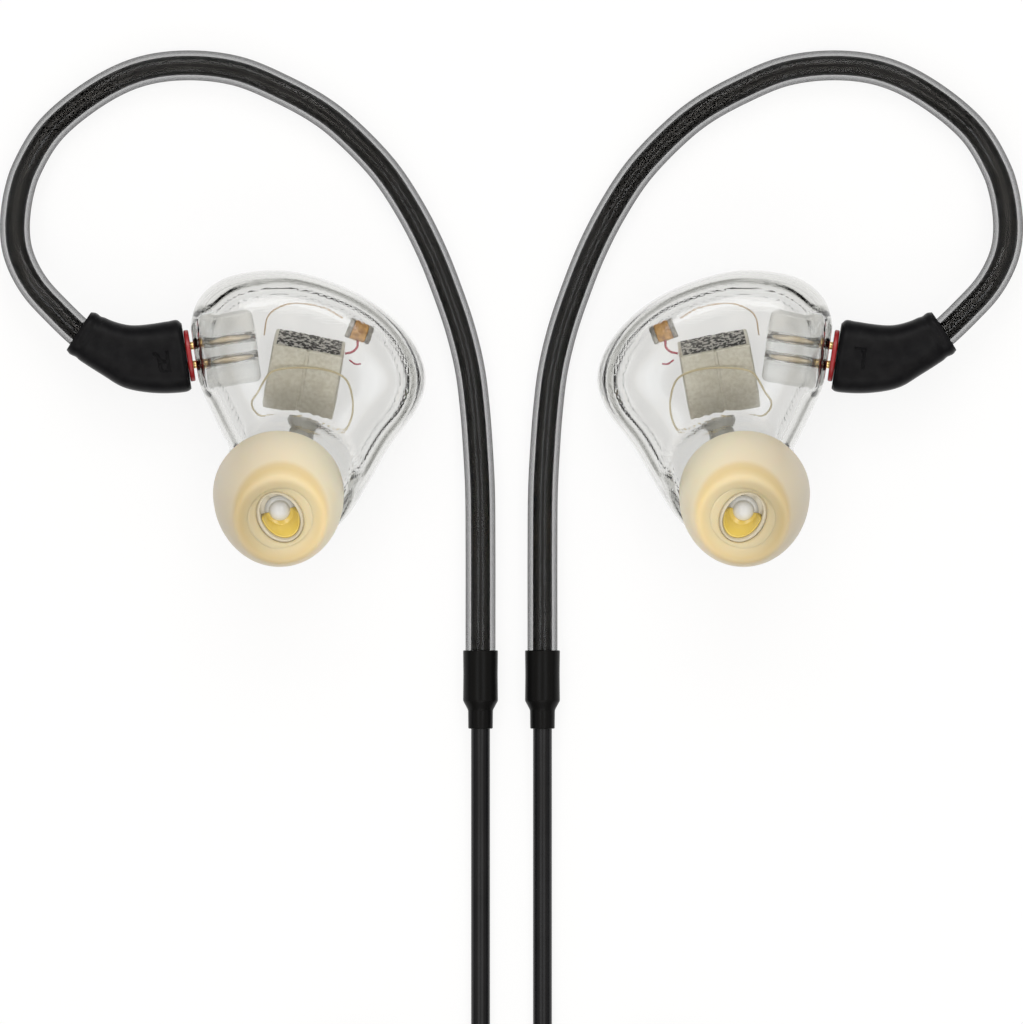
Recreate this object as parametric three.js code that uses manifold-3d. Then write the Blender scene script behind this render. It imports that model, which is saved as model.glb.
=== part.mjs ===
// A pair of in-ear monitors on a two-branch cable, lying flat with their nozzles up.
// Millimetres, +Z up. The origin is on the surface they lie on, in the middle between the two sides.
// Each side is drawn as the right one, at negative X, and the left one is its mirror image.

import * as THREE from "three";
import { mergeVertices } from "three/addons/utils/BufferGeometryUtils.js";
import Module from "manifold-3d";

const wasm = await Module();
wasm.setup();

// ---- driving dimensions ------------------------------------------------------------------

const FIT = 0.1; // clearance between pieces that fit in each other
const GAP = 0.3; // gap between pieces that meet face to face

// Shell: one outline, scaled about its middle at each height.
const SHELL_MIDDLE = [-20.5, 0.5];
const SHELL_OUTLINE = [
  [-32.1, 6.6], [-31.2, 9.2], [-29.0, 11.0], [-26.0, 11.8], [-22.5, 11.9], [-18.9, 11.1],
  [-14.9, 9.4], [-11.6, 7.0], [-9.3, 4.0], [-8.45, 1.0], [-9.3, -1.9], [-12.1, -5.7],
  [-14.4, -9.7], [-16.6, -13.0], [-19.2, -14.9], [-21.9, -14.6], [-24.2, -12.2], [-26.2, -9.2],
  [-28.2, -5.9], [-30.0, -2.3], [-31.4, 1.0], [-32.0, 3.8],
];
const SHELL_SEGMENTS = 32;
const PLATE_TOP = 1.5;
// [height, scale] from the faceplate's flat underside to the crown.
const PLATE_PROFILE = [[0, 0.82], [0.5, 0.86], [PLATE_TOP, 0.905]];
const SHELL_PROFILE = [
  [PLATE_TOP + FIT, 0.907], [3.0, 0.955], [5.0, 0.997], [7.2, 0.992], [9.0, 0.95],
  [10.4, 0.86], [11.4, 0.72], [12.0, 0.5],
];
const CAVITY_PROFILE = [[PLATE_TOP - 0.5, 0.78], [3.0, 0.84], [5.0, 0.875], [7.5, 0.87], [9.3, 0.76], [10.4, 0.5]];

// Nozzle: an oval spout along its own tilted axis. Stations are distances along the axis.
const NOZZLE_BASE = new THREE.Vector3(-23.2, -10.6, 11.0);
const NOZZLE_AXIS = new THREE.Vector3(0.035, -0.34, 0.94).normalize();
const NOZZLE_TURN = THREE.MathUtils.degToRad(28);
const NOZZLE_OVAL = 1.25; // length of the oval over its width
const NOZZLE_TIP = 6.6;
const NOZZLE_WIDTHS = [[-7.4, 4.6], [-5.0, 4.3], [-3.0, 3.5], [-1.4, 2.6], [0, 2.3], [NOZZLE_TIP, 2.3]];
const HORN_DEPTH = 2.4;
const HORN_WIDTH = 1.7;

// Ear tip: a bell of silicone on a firmer stem, round the nozzle's axis.
const STEM_BORE = 3.05;
const STEM_OUTER = 3.65;
const TIP_BASE = -1.3;
const TIP_SKIRT = 6.5;
const TIP_FRONT = 7.4;

// Two-pin connector. U runs along the pins into the shell, from the shell's flat socket face.
const PIN_ORIGIN = new THREE.Vector3(-31.62, 3.44, 5.5);
const PIN_ANGLE = THREE.MathUtils.degToRad(8.7);
const PIN_RADIUS = 0.39;
const PIN_PITCH = 1.9;
const PIN_IN_SHELL = 2.8;
const PIN_IN_BOOT = 2.2;
const BOOT_FACE = -0.85;
const MARKER_THICK = 0.5;
const SOCKET = { start: 1.5, length: 4.8, width: 7.2, height: 5.2 };

// Ear hook, boot and sleeve.
const HOOK_OUTER = 1.5;
const HOOK_BORE = 1.0;
const HOOK_CORE = 0.94;
const HOOK_STEPS = 27;
const HOOK_SIDES = 8;
const HOOK_ROUTE = [
  [-41.3, 4.25, 5.4], [-43.15, 5.64, 5.4], [-45.55, 7.94, 5.2], [-47.4, 9.94, 4.9],
  [-48.65, 11.94, 4.5], [-49.4, 13.94, 4.0], [-49.65, 15.94, 3.6], [-49.55, 17.94, 3.1],
  [-49.2, 19.94, 2.7], [-48.55, 21.94, 2.3], [-46.15, 25.94, 1.8], [-41.2, 29.94, 1.6],
  [-37.0, 31.85, 1.5], [-32.35, 32.44, 1.5], [-27.4, 31.85, 1.5], [-22.75, 29.94, 1.5],
  [-19.15, 27.94, 1.5], [-16.6, 25.94, 1.5], [-12.75, 21.94, 1.5], [-10.1, 17.94, 1.5],
  [-8.05, 13.94, 1.5], [-6.45, 9.94, 1.5], [-5.1, 5.94, 1.5], [-4.15, 1.94, 1.5],
  [-3.65, -2.06, 1.55], [-3.35, -6.06, 1.6], [-3.15, -10.06, 1.7], [-3.1, -16, 1.75],
  [-3.1, -23.5, 1.75], [-3.1, -31.2, 1.75],
];
// Boot stations: [x, y, half width, half height, heading in degrees].
const BOOT_STATIONS = [
  [-43.2, 5.8, 2.25, 2.15, -33], [-42.6, 5.45, 2.42, 2.3, -32], [-41.2, 4.65, 2.55, 2.4, -30],
  [-39.6, 3.9, 2.8, 2.5, -24], [-38.0, 3.3, 3.2, 2.6, -14], [-36.0, 3.1, 3.45, 2.65, -2],
  [-34.0, 3.2, 3.6, 2.7, 6], [-32.85, 3.35, 3.6, 2.7, 8.7], [-32.46, 3.31, 3.3, 2.4, 8.7],
];
const BOOT_CENTRE_Z = 5.5;
const SLEEVE_TOP = -26.1;
const SLEEVE_SHOULDER = -31.35;
const SLEEVE_END = -33.94;
const SLEEVE_WIDE = 1.75;
const SLEEVE_NARROW = 1.23;

// Cords. Each branch runs from its sleeve to the splitter, the main cord from there to the plug.
const BRANCH_RADIUS = 0.95;
const MAIN_RADIUS = 1.2;
const BRANCH_X = -3.1;
const PAIR_X = -1.15;
const PAIR_Z = 1.6;
const TIE_THICK = 0.5;
const COIL_BASE = TIE_THICK + FIT;
const COIL_FIT = 0.1;
const BRANCH_COIL = { turns: 2.5, mean: 10.0, y: -79.5 };
const MAIN_COIL = { turns: 4.75, mean: 13.5, y: -135 };
const SLIDER = { y: -106, length: 6, halfWidth: 2.75, halfHeight: 1.6 };
const SPLITTER = { top: -110, bottom: -121, halfHeight: 2.1, z: 2.1 };
const BRANCH_ROUTE = [
  [BRANCH_X, SLEEVE_SHOULDER - GAP, 1.75], [BRANCH_X, -34.5, 1.75], [BRANCH_X, -38.5, 1.5],
  [BRANCH_X, -43.5, 1.1], [BRANCH_X, -49, 0.95], [BRANCH_X, -60, 0.95], [BRANCH_X, -72.1, 0.95],
];
const BRANCH_TAIL_ROUTE = [
  [-3.05, -86.9, 2.85], [-2.5, -89.6, 2.3], [-1.6, -92.6, 1.8], [-1.22, -95.3, PAIR_Z],
  [PAIR_X, -98, PAIR_Z], [PAIR_X, -105, PAIR_Z], [PAIR_X, SPLITTER.top - 2.2, PAIR_Z],
];

// Plug: its axis lies along Y at the main coil's leaving side.
const PLUG_Z = 3.75;
const PLUG = { reliefStart: -118, barrelStart: -110, barrelEnd: -94, barrelRadius: 3.75, contactRadius: 1.75 };
const CONTACT_ENDS = { sleeve: 8.2, ring: 11.0, tip: 14.0 };

const COLOURS = {
  clearAcrylic: [0xe9e6da, 0.08, 0],
  clearVinyl: [0xc9cbcc, 0.2, 0],
  blackRubber: [0x161616, 0.55, 0],
  blackJacket: [0x0d0d0f, 0.35, 0],
  cream: [0xf0e3c4, 0.5, 0],
  amber: [0xe0bf72, 0.35, 0],
  white: [0xeef0f0, 0.5, 0],
  red: [0xb3161c, 0.3, 0],
  gold: [0xc9a04a, 0.25, 1],
  nickel: [0xa8a396, 0.32, 1],
  orange: [0xc98a3c, 0.45, 0],
  crimson: [0x9a1f33, 0.4, 0],
};

// ---- helpers -----------------------------------------------------------------------------

const vector = (p) => new THREE.Vector3(...p);

/** A closed solid as a manifold, for cutting and joining. */
function solid(geometry) {
  const bare = geometry.clone();
  bare.deleteAttribute("normal");
  bare.deleteAttribute("uv");
  const merged = mergeVertices(bare, 1e-4);
  return new wasm.Manifold(
    new wasm.Mesh({
      numProp: 3,
      vertProperties: new Float32Array(merged.attributes.position.array),
      triVerts: new Uint32Array(merged.index.array),
    }),
  );
}

/** The geometry of a manifold. */
function geometryOf(body) {
  const mesh = body.getMesh();
  const geometry = new THREE.BufferGeometry();
  geometry.setAttribute("position", new THREE.BufferAttribute(new Float32Array(mesh.vertProperties), 3));
  geometry.setIndex(new THREE.BufferAttribute(new Uint32Array(mesh.triVerts), 1));
  geometry.computeVertexNormals();
  return geometry;
}

/** One geometry less some others. */
function cut(geometry, ...tools) {
  return geometryOf(tools.reduce((body, tool) => body.subtract(solid(tool)), solid(geometry)));
}

/** Several overlapping geometries as one. */
function join(geometry, ...others) {
  return geometryOf(others.reduce((body, other) => body.add(solid(other)), solid(geometry)));
}

/** A solid through closed rings of equally many points, with a fan over each end. */
function loft(rings) {
  const count = rings[0].length;
  const points = rings.flat();
  const index = [];
  for (let r = 0; r < rings.length - 1; r++) {
    for (let i = 0; i < count; i++) {
      const next = (i + 1) % count;
      const [a, b, c, d] = [r * count + i, r * count + next, (r + 1) * count + i, (r + 1) * count + next];
      index.push(a, b, d, a, d, c);
    }
  }
  for (const [r, flip] of [[0, true], [rings.length - 1, false]]) {
    const middle = points.length;
    points.push(rings[r].reduce((sum, p) => sum.add(p), new THREE.Vector3()).divideScalar(count));
    for (let i = 0; i < count; i++) {
      const pair = [r * count + i, r * count + ((i + 1) % count)];
      index.push(...(flip ? pair.reverse() : pair), middle);
    }
  }
  const geometry = new THREE.BufferGeometry().setFromPoints(points);
  geometry.setIndex(index);
  geometry.computeVertexNormals();
  return geometry;
}

/** A rounded or sharp-cornered polygon section of a swept piece. */
function polygon(radius, sides) {
  const shape = new THREE.Shape();
  for (let i = 0; i < sides; i++) {
    const angle = (2 * Math.PI * i) / sides;
    const point = [radius * Math.cos(angle), radius * Math.sin(angle)];
    if (i) shape.lineTo(...point);
    else shape.moveTo(...point);
  }
  shape.closePath();
  return shape;
}

/** A rod or, with a bore, a tube along a route. */
function sweep(route, radius, { bore = 0, sides = 8, steps = 20 } = {}) {
  const curve = new THREE.CatmullRomCurve3(route.map(vector), false, "centripetal");
  const section = polygon(radius, sides);
  if (bore) section.holes.push(polygon(bore, sides));
  return new THREE.ExtrudeGeometry(section, { steps, extrudePath: curve, bevelEnabled: false });
}

/** A turned solid from [radius, station] points, which close on the axis or on themselves. */
function turned(profile, segments = 20, closed = false) {
  const points = profile.map(([r, s]) => new THREE.Vector2(r, s));
  if (closed) points.push(points[0].clone());
  return new THREE.LatheGeometry(points, segments).rotateX(Math.PI / 2);
}

/** Turns a solid along +Z onto an axis through a point. */
function along(geometry, origin, axis) {
  const turn = new THREE.Quaternion().setFromUnitVectors(new THREE.Vector3(0, 0, 1), axis);
  return geometry.applyQuaternion(turn).translate(origin.x, origin.y, origin.z);
}

/** A rod along +Z from one station to another. */
function rod(radius, from, to, sides = 12) {
  return new THREE.CylinderGeometry(radius, radius, to - from, sides)
    .rotateX(Math.PI / 2)
    .translate(0, 0, (from + to) / 2);
}

/** A box with rounded vertical edges, its middle at the origin. */
function roundedBox(width, length, height, corner) {
  const shape = new THREE.Shape();
  const [x, y] = [width / 2, length / 2];
  shape.moveTo(-x + corner, -y);
  shape.lineTo(x - corner, -y);
  shape.absarc(x - corner, -y + corner, corner, -Math.PI / 2, 0);
  shape.lineTo(x, y - corner);
  shape.absarc(x - corner, y - corner, corner, 0, Math.PI / 2);
  shape.lineTo(-x + corner, y);
  shape.absarc(-x + corner, y - corner, corner, Math.PI / 2, Math.PI);
  shape.lineTo(-x, -y + corner);
  shape.absarc(-x + corner, -y + corner, corner, Math.PI, 1.5 * Math.PI);
  return new THREE.ExtrudeGeometry(shape, { depth: height, bevelEnabled: false, curveSegments: 2 })
    .translate(0, 0, -height / 2);
}

/** Puts a solid drawn along +X at the origin into the two-pin connector's frame. */
function onPinAxis(geometry, u = 0, v = 0) {
  return geometry
    .translate(u, v, 0)
    .rotateZ(PIN_ANGLE)
    .translate(PIN_ORIGIN.x, PIN_ORIGIN.y, PIN_ORIGIN.z);
}

/** A rod along the pins' direction. */
function pinRod(radius, from, to, v, sides = 10) {
  return onPinAxis(rod(radius, from, to, sides).rotateY(Math.PI / 2), 0, v);
}

const pinOffsets = [PIN_PITCH / 2, -PIN_PITCH / 2];

/** A point on the nozzle's axis. */
const onNozzle = (station) => NOZZLE_BASE.clone().addScaledVector(NOZZLE_AXIS, station);

// ---- earpiece ----------------------------------------------------------------------------

/** The shell's outline at one height. */
function shellRing(height, scale) {
  const curve = new THREE.CatmullRomCurve3(SHELL_OUTLINE.map(([x, y]) => vector([x, y, 0])), true);
  return curve
    .getSpacedPoints(SHELL_SEGMENTS)
    .slice(0, SHELL_SEGMENTS)
    .reverse()
    .map((p) => new THREE.Vector3(
      SHELL_MIDDLE[0] + (p.x - SHELL_MIDDLE[0]) * scale,
      SHELL_MIDDLE[1] + (p.y - SHELL_MIDDLE[1]) * scale,
      height,
    ));
}

/** An oval ring round the nozzle's axis. */
function nozzleRing(station, width, sides = 14) {
  const ring = [];
  for (let i = 0; i < sides; i++) {
    const angle = (2 * Math.PI * i) / sides;
    const local = new THREE.Vector3(width * Math.cos(angle), width * NOZZLE_OVAL * Math.sin(angle), 0);
    ring.push(local.applyAxisAngle(new THREE.Vector3(0, 0, 1), NOZZLE_TURN));
  }
  const turn = new THREE.Quaternion().setFromUnitVectors(new THREE.Vector3(0, 0, 1), NOZZLE_AXIS);
  const origin = onNozzle(station);
  return ring.map((p) => p.applyQuaternion(turn).add(origin));
}

const soundRoute = [
  [-20.9, -3.9, 5.2], [-21.3, -5.6, 6.0], [-22.3, -8.0, 8.0],
  onNozzle(-1).toArray(), onNozzle(1.6).toArray(), onNozzle(NOZZLE_TIP - HORN_DEPTH).toArray(),
];
const SOUND_TUBE = { outer: 1.3, bore: 1.05, sides: 8, steps: 6 };

/** The room that the ear tip's skirt needs over the shell's shoulder, with a margin all round. */
function tipRoom(margin) {
  return along(rod(TIP_SKIRT + margin, TIP_BASE - margin, TIP_FRONT + 5, 18), NOZZLE_BASE, NOZZLE_AXIS);
}

function faceplate() {
  return loft(PLATE_PROFILE.map(([z, scale]) => shellRing(z, scale)));
}

function shell() {
  const body = cut(loft(SHELL_PROFILE.map(([z, scale]) => shellRing(z, scale))), tipRoom(0.5));
  const spout = loft(NOZZLE_WIDTHS.map(([station, width]) => nozzleRing(station, width)));
  const cavity = cut(loft(CAVITY_PROFILE.map(([z, scale]) => shellRing(z, scale))), tipRoom(1.8));
  const horn = loft([NOZZLE_TIP - HORN_DEPTH, NOZZLE_TIP + 1].map((s) => nozzleRing(s, HORN_WIDTH, 12)));
  const boreRoute = [...soundRoute, onNozzle(NOZZLE_TIP - HORN_DEPTH + 0.6).toArray()];
  const soundBore = sweep(boreRoute, SOUND_TUBE.outer + GAP, { ...SOUND_TUBE, bore: 0 });
  const socketFace = onPinAxis(new THREE.BoxGeometry(6, 30, 30), -3);
  const socketRoom = onPinAxis(socketBox(2 * FIT));
  const pinHoles = pinOffsets.map((v) => pinRod(PIN_RADIUS + FIT, -1, SOCKET.start + 1, v));
  return cut(join(body, spout), cavity, horn, soundBore, socketFace, socketRoom, ...pinHoles);
}

function socketBox(extra = 0) {
  const { start, length, width, height } = SOCKET;
  return new THREE.BoxGeometry(length + extra, width + extra, height + extra)
    .translate(start + length / 2, 0, 0);
}

function socketBlock() {
  const bores = pinOffsets.map((v) => pinRod(0.8, SOCKET.start - 1, SOCKET.start + SOCKET.length + 1, v));
  return cut(onPinAxis(socketBox()), ...bores);
}

function socketContact(v) {
  const [from, to] = [SOCKET.start + 0.3, SOCKET.start + SOCKET.length - 0.4];
  const outer = pinRod(0.7, from, to, v);
  return cut(outer, pinRod(PIN_RADIUS + FIT, from - 1, to - 0.8, v));
}

/** One of the two drivers, side by side with their ends raised; side is -1 or 1. */
const DRIVER = { width: 3.5, length: 7.0, height: 4.2, tilt: 25, turn: -10.6, middle: [-20.7, 1.5, 6.1] };

function driver(side) {
  const body = roundedBox(DRIVER.width, DRIVER.length, DRIVER.height, 0.5);
  const spout = rod(0.7, 0, 1.0, 10).rotateX(Math.PI / 2).translate(0, -DRIVER.length / 2 + 0.2, -0.4);
  return join(body, spout)
    .translate((side * (DRIVER.width + FIT)) / 2, 0, 0)
    .rotateX(THREE.MathUtils.degToRad(DRIVER.tilt))
    .rotateZ(THREE.MathUtils.degToRad(DRIVER.turn))
    .translate(...DRIVER.middle);
}

function capacitor() {
  return roundedBox(2.5, 1.9, 1.3, 0.2).rotateZ(THREE.MathUtils.degToRad(-20)).translate(-15.15, 5.74, 6.4);
}

function signalWire() {
  const route = [
    [-24.7, 5.4, 7.0], [-24.2, 7.4, 7.4], [-22.2, 8.4, 7.4], [-18.8, 8.0, 7.2], [-16.9, 7.0, 6.8],
  ];
  return sweep(route, 0.17, { sides: 6, steps: 8 });
}

function soundTube() {
  return sweep(soundRoute, SOUND_TUBE.outer, SOUND_TUBE);
}

function damper() {
  const end = NOZZLE_TIP - HORN_DEPTH;
  return along(rod(0.92, end - 2.0, end + 0.15, 12), NOZZLE_BASE, NOZZLE_AXIS);
}

function earTip() {
  const inner = STEM_OUTER + FIT;
  const profile = [
    [inner, TIP_FRONT - 0.9], [inner, TIP_FRONT - 0.25], [4.2, TIP_FRONT], [4.8, TIP_FRONT - 0.25],
    [5.6, TIP_FRONT - 1.6], [6.2, 3.4], [6.52, 1.0], [TIP_SKIRT, TIP_BASE], [5.9, TIP_BASE],
    [5.8, 1.0], [5.2, 4.0], [4.3, 5.8],
  ];
  return along(turned(profile.reverse(), 18, true), NOZZLE_BASE, NOZZLE_AXIS);
}

function earTipStem() {
  const profile = [
    [STEM_BORE, TIP_BASE + 0.6], [STEM_OUTER, TIP_BASE + 0.6],
    [STEM_OUTER, TIP_FRONT - 0.3], [STEM_BORE, TIP_FRONT - 0.5],
  ];
  return along(turned(profile, 16, true), NOZZLE_BASE, NOZZLE_AXIS);
}

// ---- connector, boot and hook ------------------------------------------------------------

/** The coloured side marker on the boot's face, with the pins through it. */
function sideMarker() {
  const shape = new THREE.Shape().absellipse(0, 0, 1.75, 2.6, 0, 2 * Math.PI);
  for (const v of pinOffsets) shape.holes.push(new THREE.Path().absarc(0, v, PIN_RADIUS + FIT, 0, 2 * Math.PI));
  const plate = new THREE.ExtrudeGeometry(shape, { depth: MARKER_THICK, bevelEnabled: false, curveSegments: 6 });
  return onPinAxis(plate.rotateY(Math.PI / 2), BOOT_FACE + 0.05);
}

const pin = (v) => pinRod(PIN_RADIUS, BOOT_FACE - PIN_IN_BOOT, PIN_IN_SHELL, v);

/** A rounded section of the boot, in the plane across its heading. */
function bootRing([x, y, halfWidth, halfHeight, heading]) {
  const sides = 14;
  const ring = [];
  const angle = THREE.MathUtils.degToRad(heading);
  for (let i = 0; i < sides; i++) {
    const t = (2 * Math.PI * i) / sides;
    const round = (value) => Math.sign(value) * Math.abs(value) ** 0.72;
    const [across, up] = [halfWidth * round(Math.cos(t)), halfHeight * round(Math.sin(t))];
    ring.push(new THREE.Vector3(x - Math.sin(angle) * across, y + Math.cos(angle) * across, BOOT_CENTRE_Z + up));
  }
  return ring;
}

function boot() {
  const body = loft(BOOT_STATIONS.map(bootRing));
  const start = vector(HOOK_ROUTE[0]);
  const inward = start.clone().sub(vector(HOOK_ROUTE[1])).normalize();
  const socketRoute = [start.clone().addScaledVector(inward, 0.3).toArray(), ...HOOK_ROUTE.slice(0, 3)];
  const hookSocket = sweep(socketRoute, HOOK_OUTER + 0.16, { sides: 8, steps: 6 });
  const pinSockets = pinOffsets.map((v) => pinRod(PIN_RADIUS + FIT, BOOT_FACE - PIN_IN_BOOT - FIT, 0, v));
  return cut(body, hookSocket, ...pinSockets);
}

const hookTube = () => sweep(HOOK_ROUTE, HOOK_OUTER, { bore: HOOK_BORE, sides: HOOK_SIDES, steps: HOOK_STEPS });
const hookCable = () => sweep(HOOK_ROUTE, HOOK_CORE, { sides: HOOK_SIDES, steps: HOOK_STEPS });

/** The shrunk sleeve over the end of the hook, its axis along Y. */
function hookSleeve() {
  const profile = [
    [HOOK_OUTER + FIT, SLEEVE_SHOULDER], [HOOK_OUTER + FIT, SLEEVE_TOP], [SLEEVE_WIDE, SLEEVE_TOP],
    [SLEEVE_WIDE, SLEEVE_SHOULDER + 0.4], [SLEEVE_NARROW, SLEEVE_SHOULDER - 0.6], [SLEEVE_NARROW, SLEEVE_END],
    [BRANCH_RADIUS + FIT, SLEEVE_END], [BRANCH_RADIUS + FIT, SLEEVE_SHOULDER],
  ];
  return turned(profile.reverse(), 16, true).rotateX(-Math.PI / 2).translate(BRANCH_X, 0, SLEEVE_WIDE);
}

// ---- cords, coils, slider and splitter ---------------------------------------------------

/** Outside radius of a coil whose turns lie side by side, in two layers. */
const coilOuter = (coil, radius) => coil.mean + coil.turns * radius + radius + COIL_FIT;
const coilInner = (coil, radius) => coil.mean - coil.turns * radius - radius - COIL_FIT;
const coilTop = (radius) => COIL_BASE + 4 * radius + COIL_FIT;
/** A coil lies beside its cord's line, so that the cord enters along its outermost turn. */
const coilX = (coil, radius, lineX) => lineX - coil.mean - coil.turns * radius;

/** The outer shape of a coil of cord. */
function coilBody(coil, radius, lineX) {
  const [inner, outer] = [coilInner(coil, radius), coilOuter(coil, radius)];
  const profile = [[inner, COIL_BASE], [outer, COIL_BASE], [outer, coilTop(radius)], [inner, coilTop(radius)]];
  return turned(profile, 28, true).translate(coilX(coil, radius, lineX), coil.y, 0);
}

/** A strap round a coil's bundle of turns, at the side where the coil points. */
function coilTie(coil, radius, lineX, direction) {
  const halfLength = 2.5;
  const inner = coilInner(coil, radius);
  const near = Math.sqrt(inner ** 2 - halfLength ** 2) - FIT;
  const far = coilOuter(coil, radius) + FIT;
  const [low, high] = [COIL_BASE - FIT, coilTop(radius) + FIT];
  const strap = new THREE.BoxGeometry(far - near + 2 * TIE_THICK, 2 * halfLength, high - low + 2 * TIE_THICK);
  const room = new THREE.BoxGeometry(far - near, 3 * halfLength, high - low);
  return cut(strap, room)
    .translate((near + far) / 2, 0, (low + high) / 2)
    .rotateZ(direction)
    .translate(coilX(coil, radius, lineX), coil.y, 0);
}

/** A flattened section across Y. */
function flatRing(y, halfWidth, halfHeight, z) {
  const sides = 16;
  const ring = [];
  for (let i = 0; i < sides; i++) {
    const t = (-2 * Math.PI * i) / sides;
    const round = (value) => Math.sign(value) * Math.abs(value) ** 0.8;
    ring.push(new THREE.Vector3(halfWidth * round(Math.cos(t)), y, z + halfHeight * round(Math.sin(t))));
  }
  return ring;
}

/** A rod along Y, for holes. */
const yRod = (radius, x, z, from, to) => rod(radius, from, to, 12).rotateX(-Math.PI / 2).translate(x, 0, z);

function slider() {
  const { y, length, halfWidth, halfHeight } = SLIDER;
  const ends = [y - length / 2, y + length / 2];
  const body = loft([ends[0], ends[1]].map((at) => flatRing(at, halfWidth, halfHeight, halfHeight)));
  return cut(body, ...[PAIR_X, -PAIR_X].map((x) => yRod(BRANCH_RADIUS + FIT, x, PAIR_Z, ends[0] - 1, ends[1] + 1)));
}

function splitter() {
  const { top, bottom, halfHeight, z } = SPLITTER;
  const stations = [[bottom, 1.9], [bottom + 1.5, 2.3], [bottom + 6, 3.1], [top - 0.6, 3.2], [top, 2.9]];
  const body = loft(stations.map(([y, w]) => flatRing(y, w, Math.min(halfHeight, w), z)));
  const branchHoles = [PAIR_X, -PAIR_X].map((x) => yRod(BRANCH_RADIUS + FIT, x, PAIR_Z, top - 2.5, top + 1));
  const mainHole = yRod(MAIN_RADIUS + FIT, 0, z, bottom - 1, bottom + 2.5);
  return cut(body, ...branchHoles, mainHole);
}

const mainLineX = coilX(MAIN_COIL, MAIN_RADIUS, 0) * 2; // where the main cord leaves its coil

function mainCord() {
  const route = [[0, SPLITTER.bottom + 2.2, 2.1], [0, -121.5, 2.1], [0, -122.6, 2.05], [0, -123.8, 2.0]];
  return sweep(route, MAIN_RADIUS, { steps: 3 });
}

function mainCordTail() {
  const route = [[mainLineX, -124.4, 4.0], [mainLineX, -121, PLUG_Z], [mainLineX, PLUG.reliefStart + 2, PLUG_Z]];
  return sweep(route, MAIN_RADIUS, { steps: 5 });
}

// ---- plug --------------------------------------------------------------------------------

/** Puts a solid turned round +Z onto the plug's axis, which points along +Y. */
const onPlug = (geometry) => geometry.rotateX(-Math.PI / 2).translate(mainLineX, 0, PLUG_Z);

function plugRelief() {
  const { reliefStart, barrelStart } = PLUG;
  const hole = MAIN_RADIUS + FIT;
  const profile = [
    [hole, reliefStart], [1.9, reliefStart], [2.5, barrelStart - GAP], [0, barrelStart - GAP],
    [0, reliefStart + 2.3], [hole, reliefStart + 2.3],
  ];
  return onPlug(turned(profile, 16, true));
}

function plugBarrel() {
  const { barrelStart, barrelEnd, barrelRadius, contactRadius } = PLUG;
  const hole = contactRadius + FIT;
  const profile = [
    [0, barrelStart], [3.2, barrelStart], [barrelRadius, barrelStart + 0.8], [barrelRadius, barrelEnd - 0.6],
    [3.4, barrelEnd], [hole, barrelEnd], [hole, barrelEnd - 2], [0, barrelEnd - 2],
  ];
  return onPlug(turned(profile, 24));
}

/** A contact of the plug, as a sleeve on the insulating core between two stations. */
function plugContact(from, to) {
  const { barrelEnd, contactRadius } = PLUG;
  const bore = 0.8;
  const profile = [
    [bore, barrelEnd + from], [contactRadius, barrelEnd + from],
    [contactRadius, barrelEnd + to], [bore, barrelEnd + to],
  ];
  return onPlug(turned(profile, 20, true));
}

function plugTip() {
  const start = PLUG.barrelEnd + CONTACT_ENDS.ring + 0.4;
  const end = PLUG.barrelEnd + CONTACT_ENDS.tip;
  const profile = [[0, start + 0.3], [1.5, start + 0.3], [1.75, start + 0.9], [1.2, end - 1.2], [1.3, end - 0.9], [0, end]];
  return onPlug(turned(profile, 20));
}

function plugInsulator() {
  const { barrelEnd, contactRadius } = PLUG;
  const core = 0.7;
  const flange = (at) => [[core, at], [contactRadius, at], [contactRadius, at + 0.4], [core, at + 0.4]];
  const profile = [
    [0, barrelEnd - 1.8], [core, barrelEnd - 1.8],
    ...flange(barrelEnd + CONTACT_ENDS.sleeve + 0.05),
    ...flange(barrelEnd + CONTACT_ENDS.ring + 0.05),
    [0, barrelEnd + CONTACT_ENDS.ring + 0.45],
  ];
  return onPlug(turned(profile, 12));
}

// ---- assembly ----------------------------------------------------------------------------

/** Every piece of one side: name, geometry and colour. */
function sidePieces() {
  return [
    ["shell", shell(), "clearAcrylic"],
    ["faceplate", faceplate(), "clearAcrylic"],
    ["socket_block", socketBlock(), "clearAcrylic"],
    ["socket_contact_upper", socketContact(pinOffsets[0]), "gold"],
    ["socket_contact_lower", socketContact(pinOffsets[1]), "gold"],
    ["woofer_driver", driver(-1), "nickel"],
    ["tweeter_driver", driver(1), "nickel"],
    ["capacitor", capacitor(), "orange"],
    ["signal_wire", signalWire(), "crimson"],
    ["sound_tube", soundTube(), "clearVinyl"],
    ["damper", damper(), "white"],
    ["ear_tip", earTip(), "cream"],
    ["ear_tip_stem", earTipStem(), "amber"],
    ["side_marker", sideMarker(), "red"],
    ["pin_upper", pin(pinOffsets[0]), "gold"],
    ["pin_lower", pin(pinOffsets[1]), "gold"],
    ["plug_boot", boot(), "blackRubber"],
    ["hook_tube", hookTube(), "clearVinyl"],
    ["hook_cable", hookCable(), "blackJacket"],
    ["hook_sleeve", hookSleeve(), "blackRubber"],
    ["branch_cord", sweep(BRANCH_ROUTE, BRANCH_RADIUS, { steps: 14 }), "blackJacket"],
    ["branch_coil", coilBody(BRANCH_COIL, BRANCH_RADIUS, BRANCH_X), "blackJacket"],
    ["branch_coil_tie", coilTie(BRANCH_COIL, BRANCH_RADIUS, BRANCH_X, Math.PI), "blackRubber"],
    ["branch_cord_tail", sweep(BRANCH_TAIL_ROUTE, BRANCH_RADIUS, { steps: 10 }), "blackJacket"],
  ];
}

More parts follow.
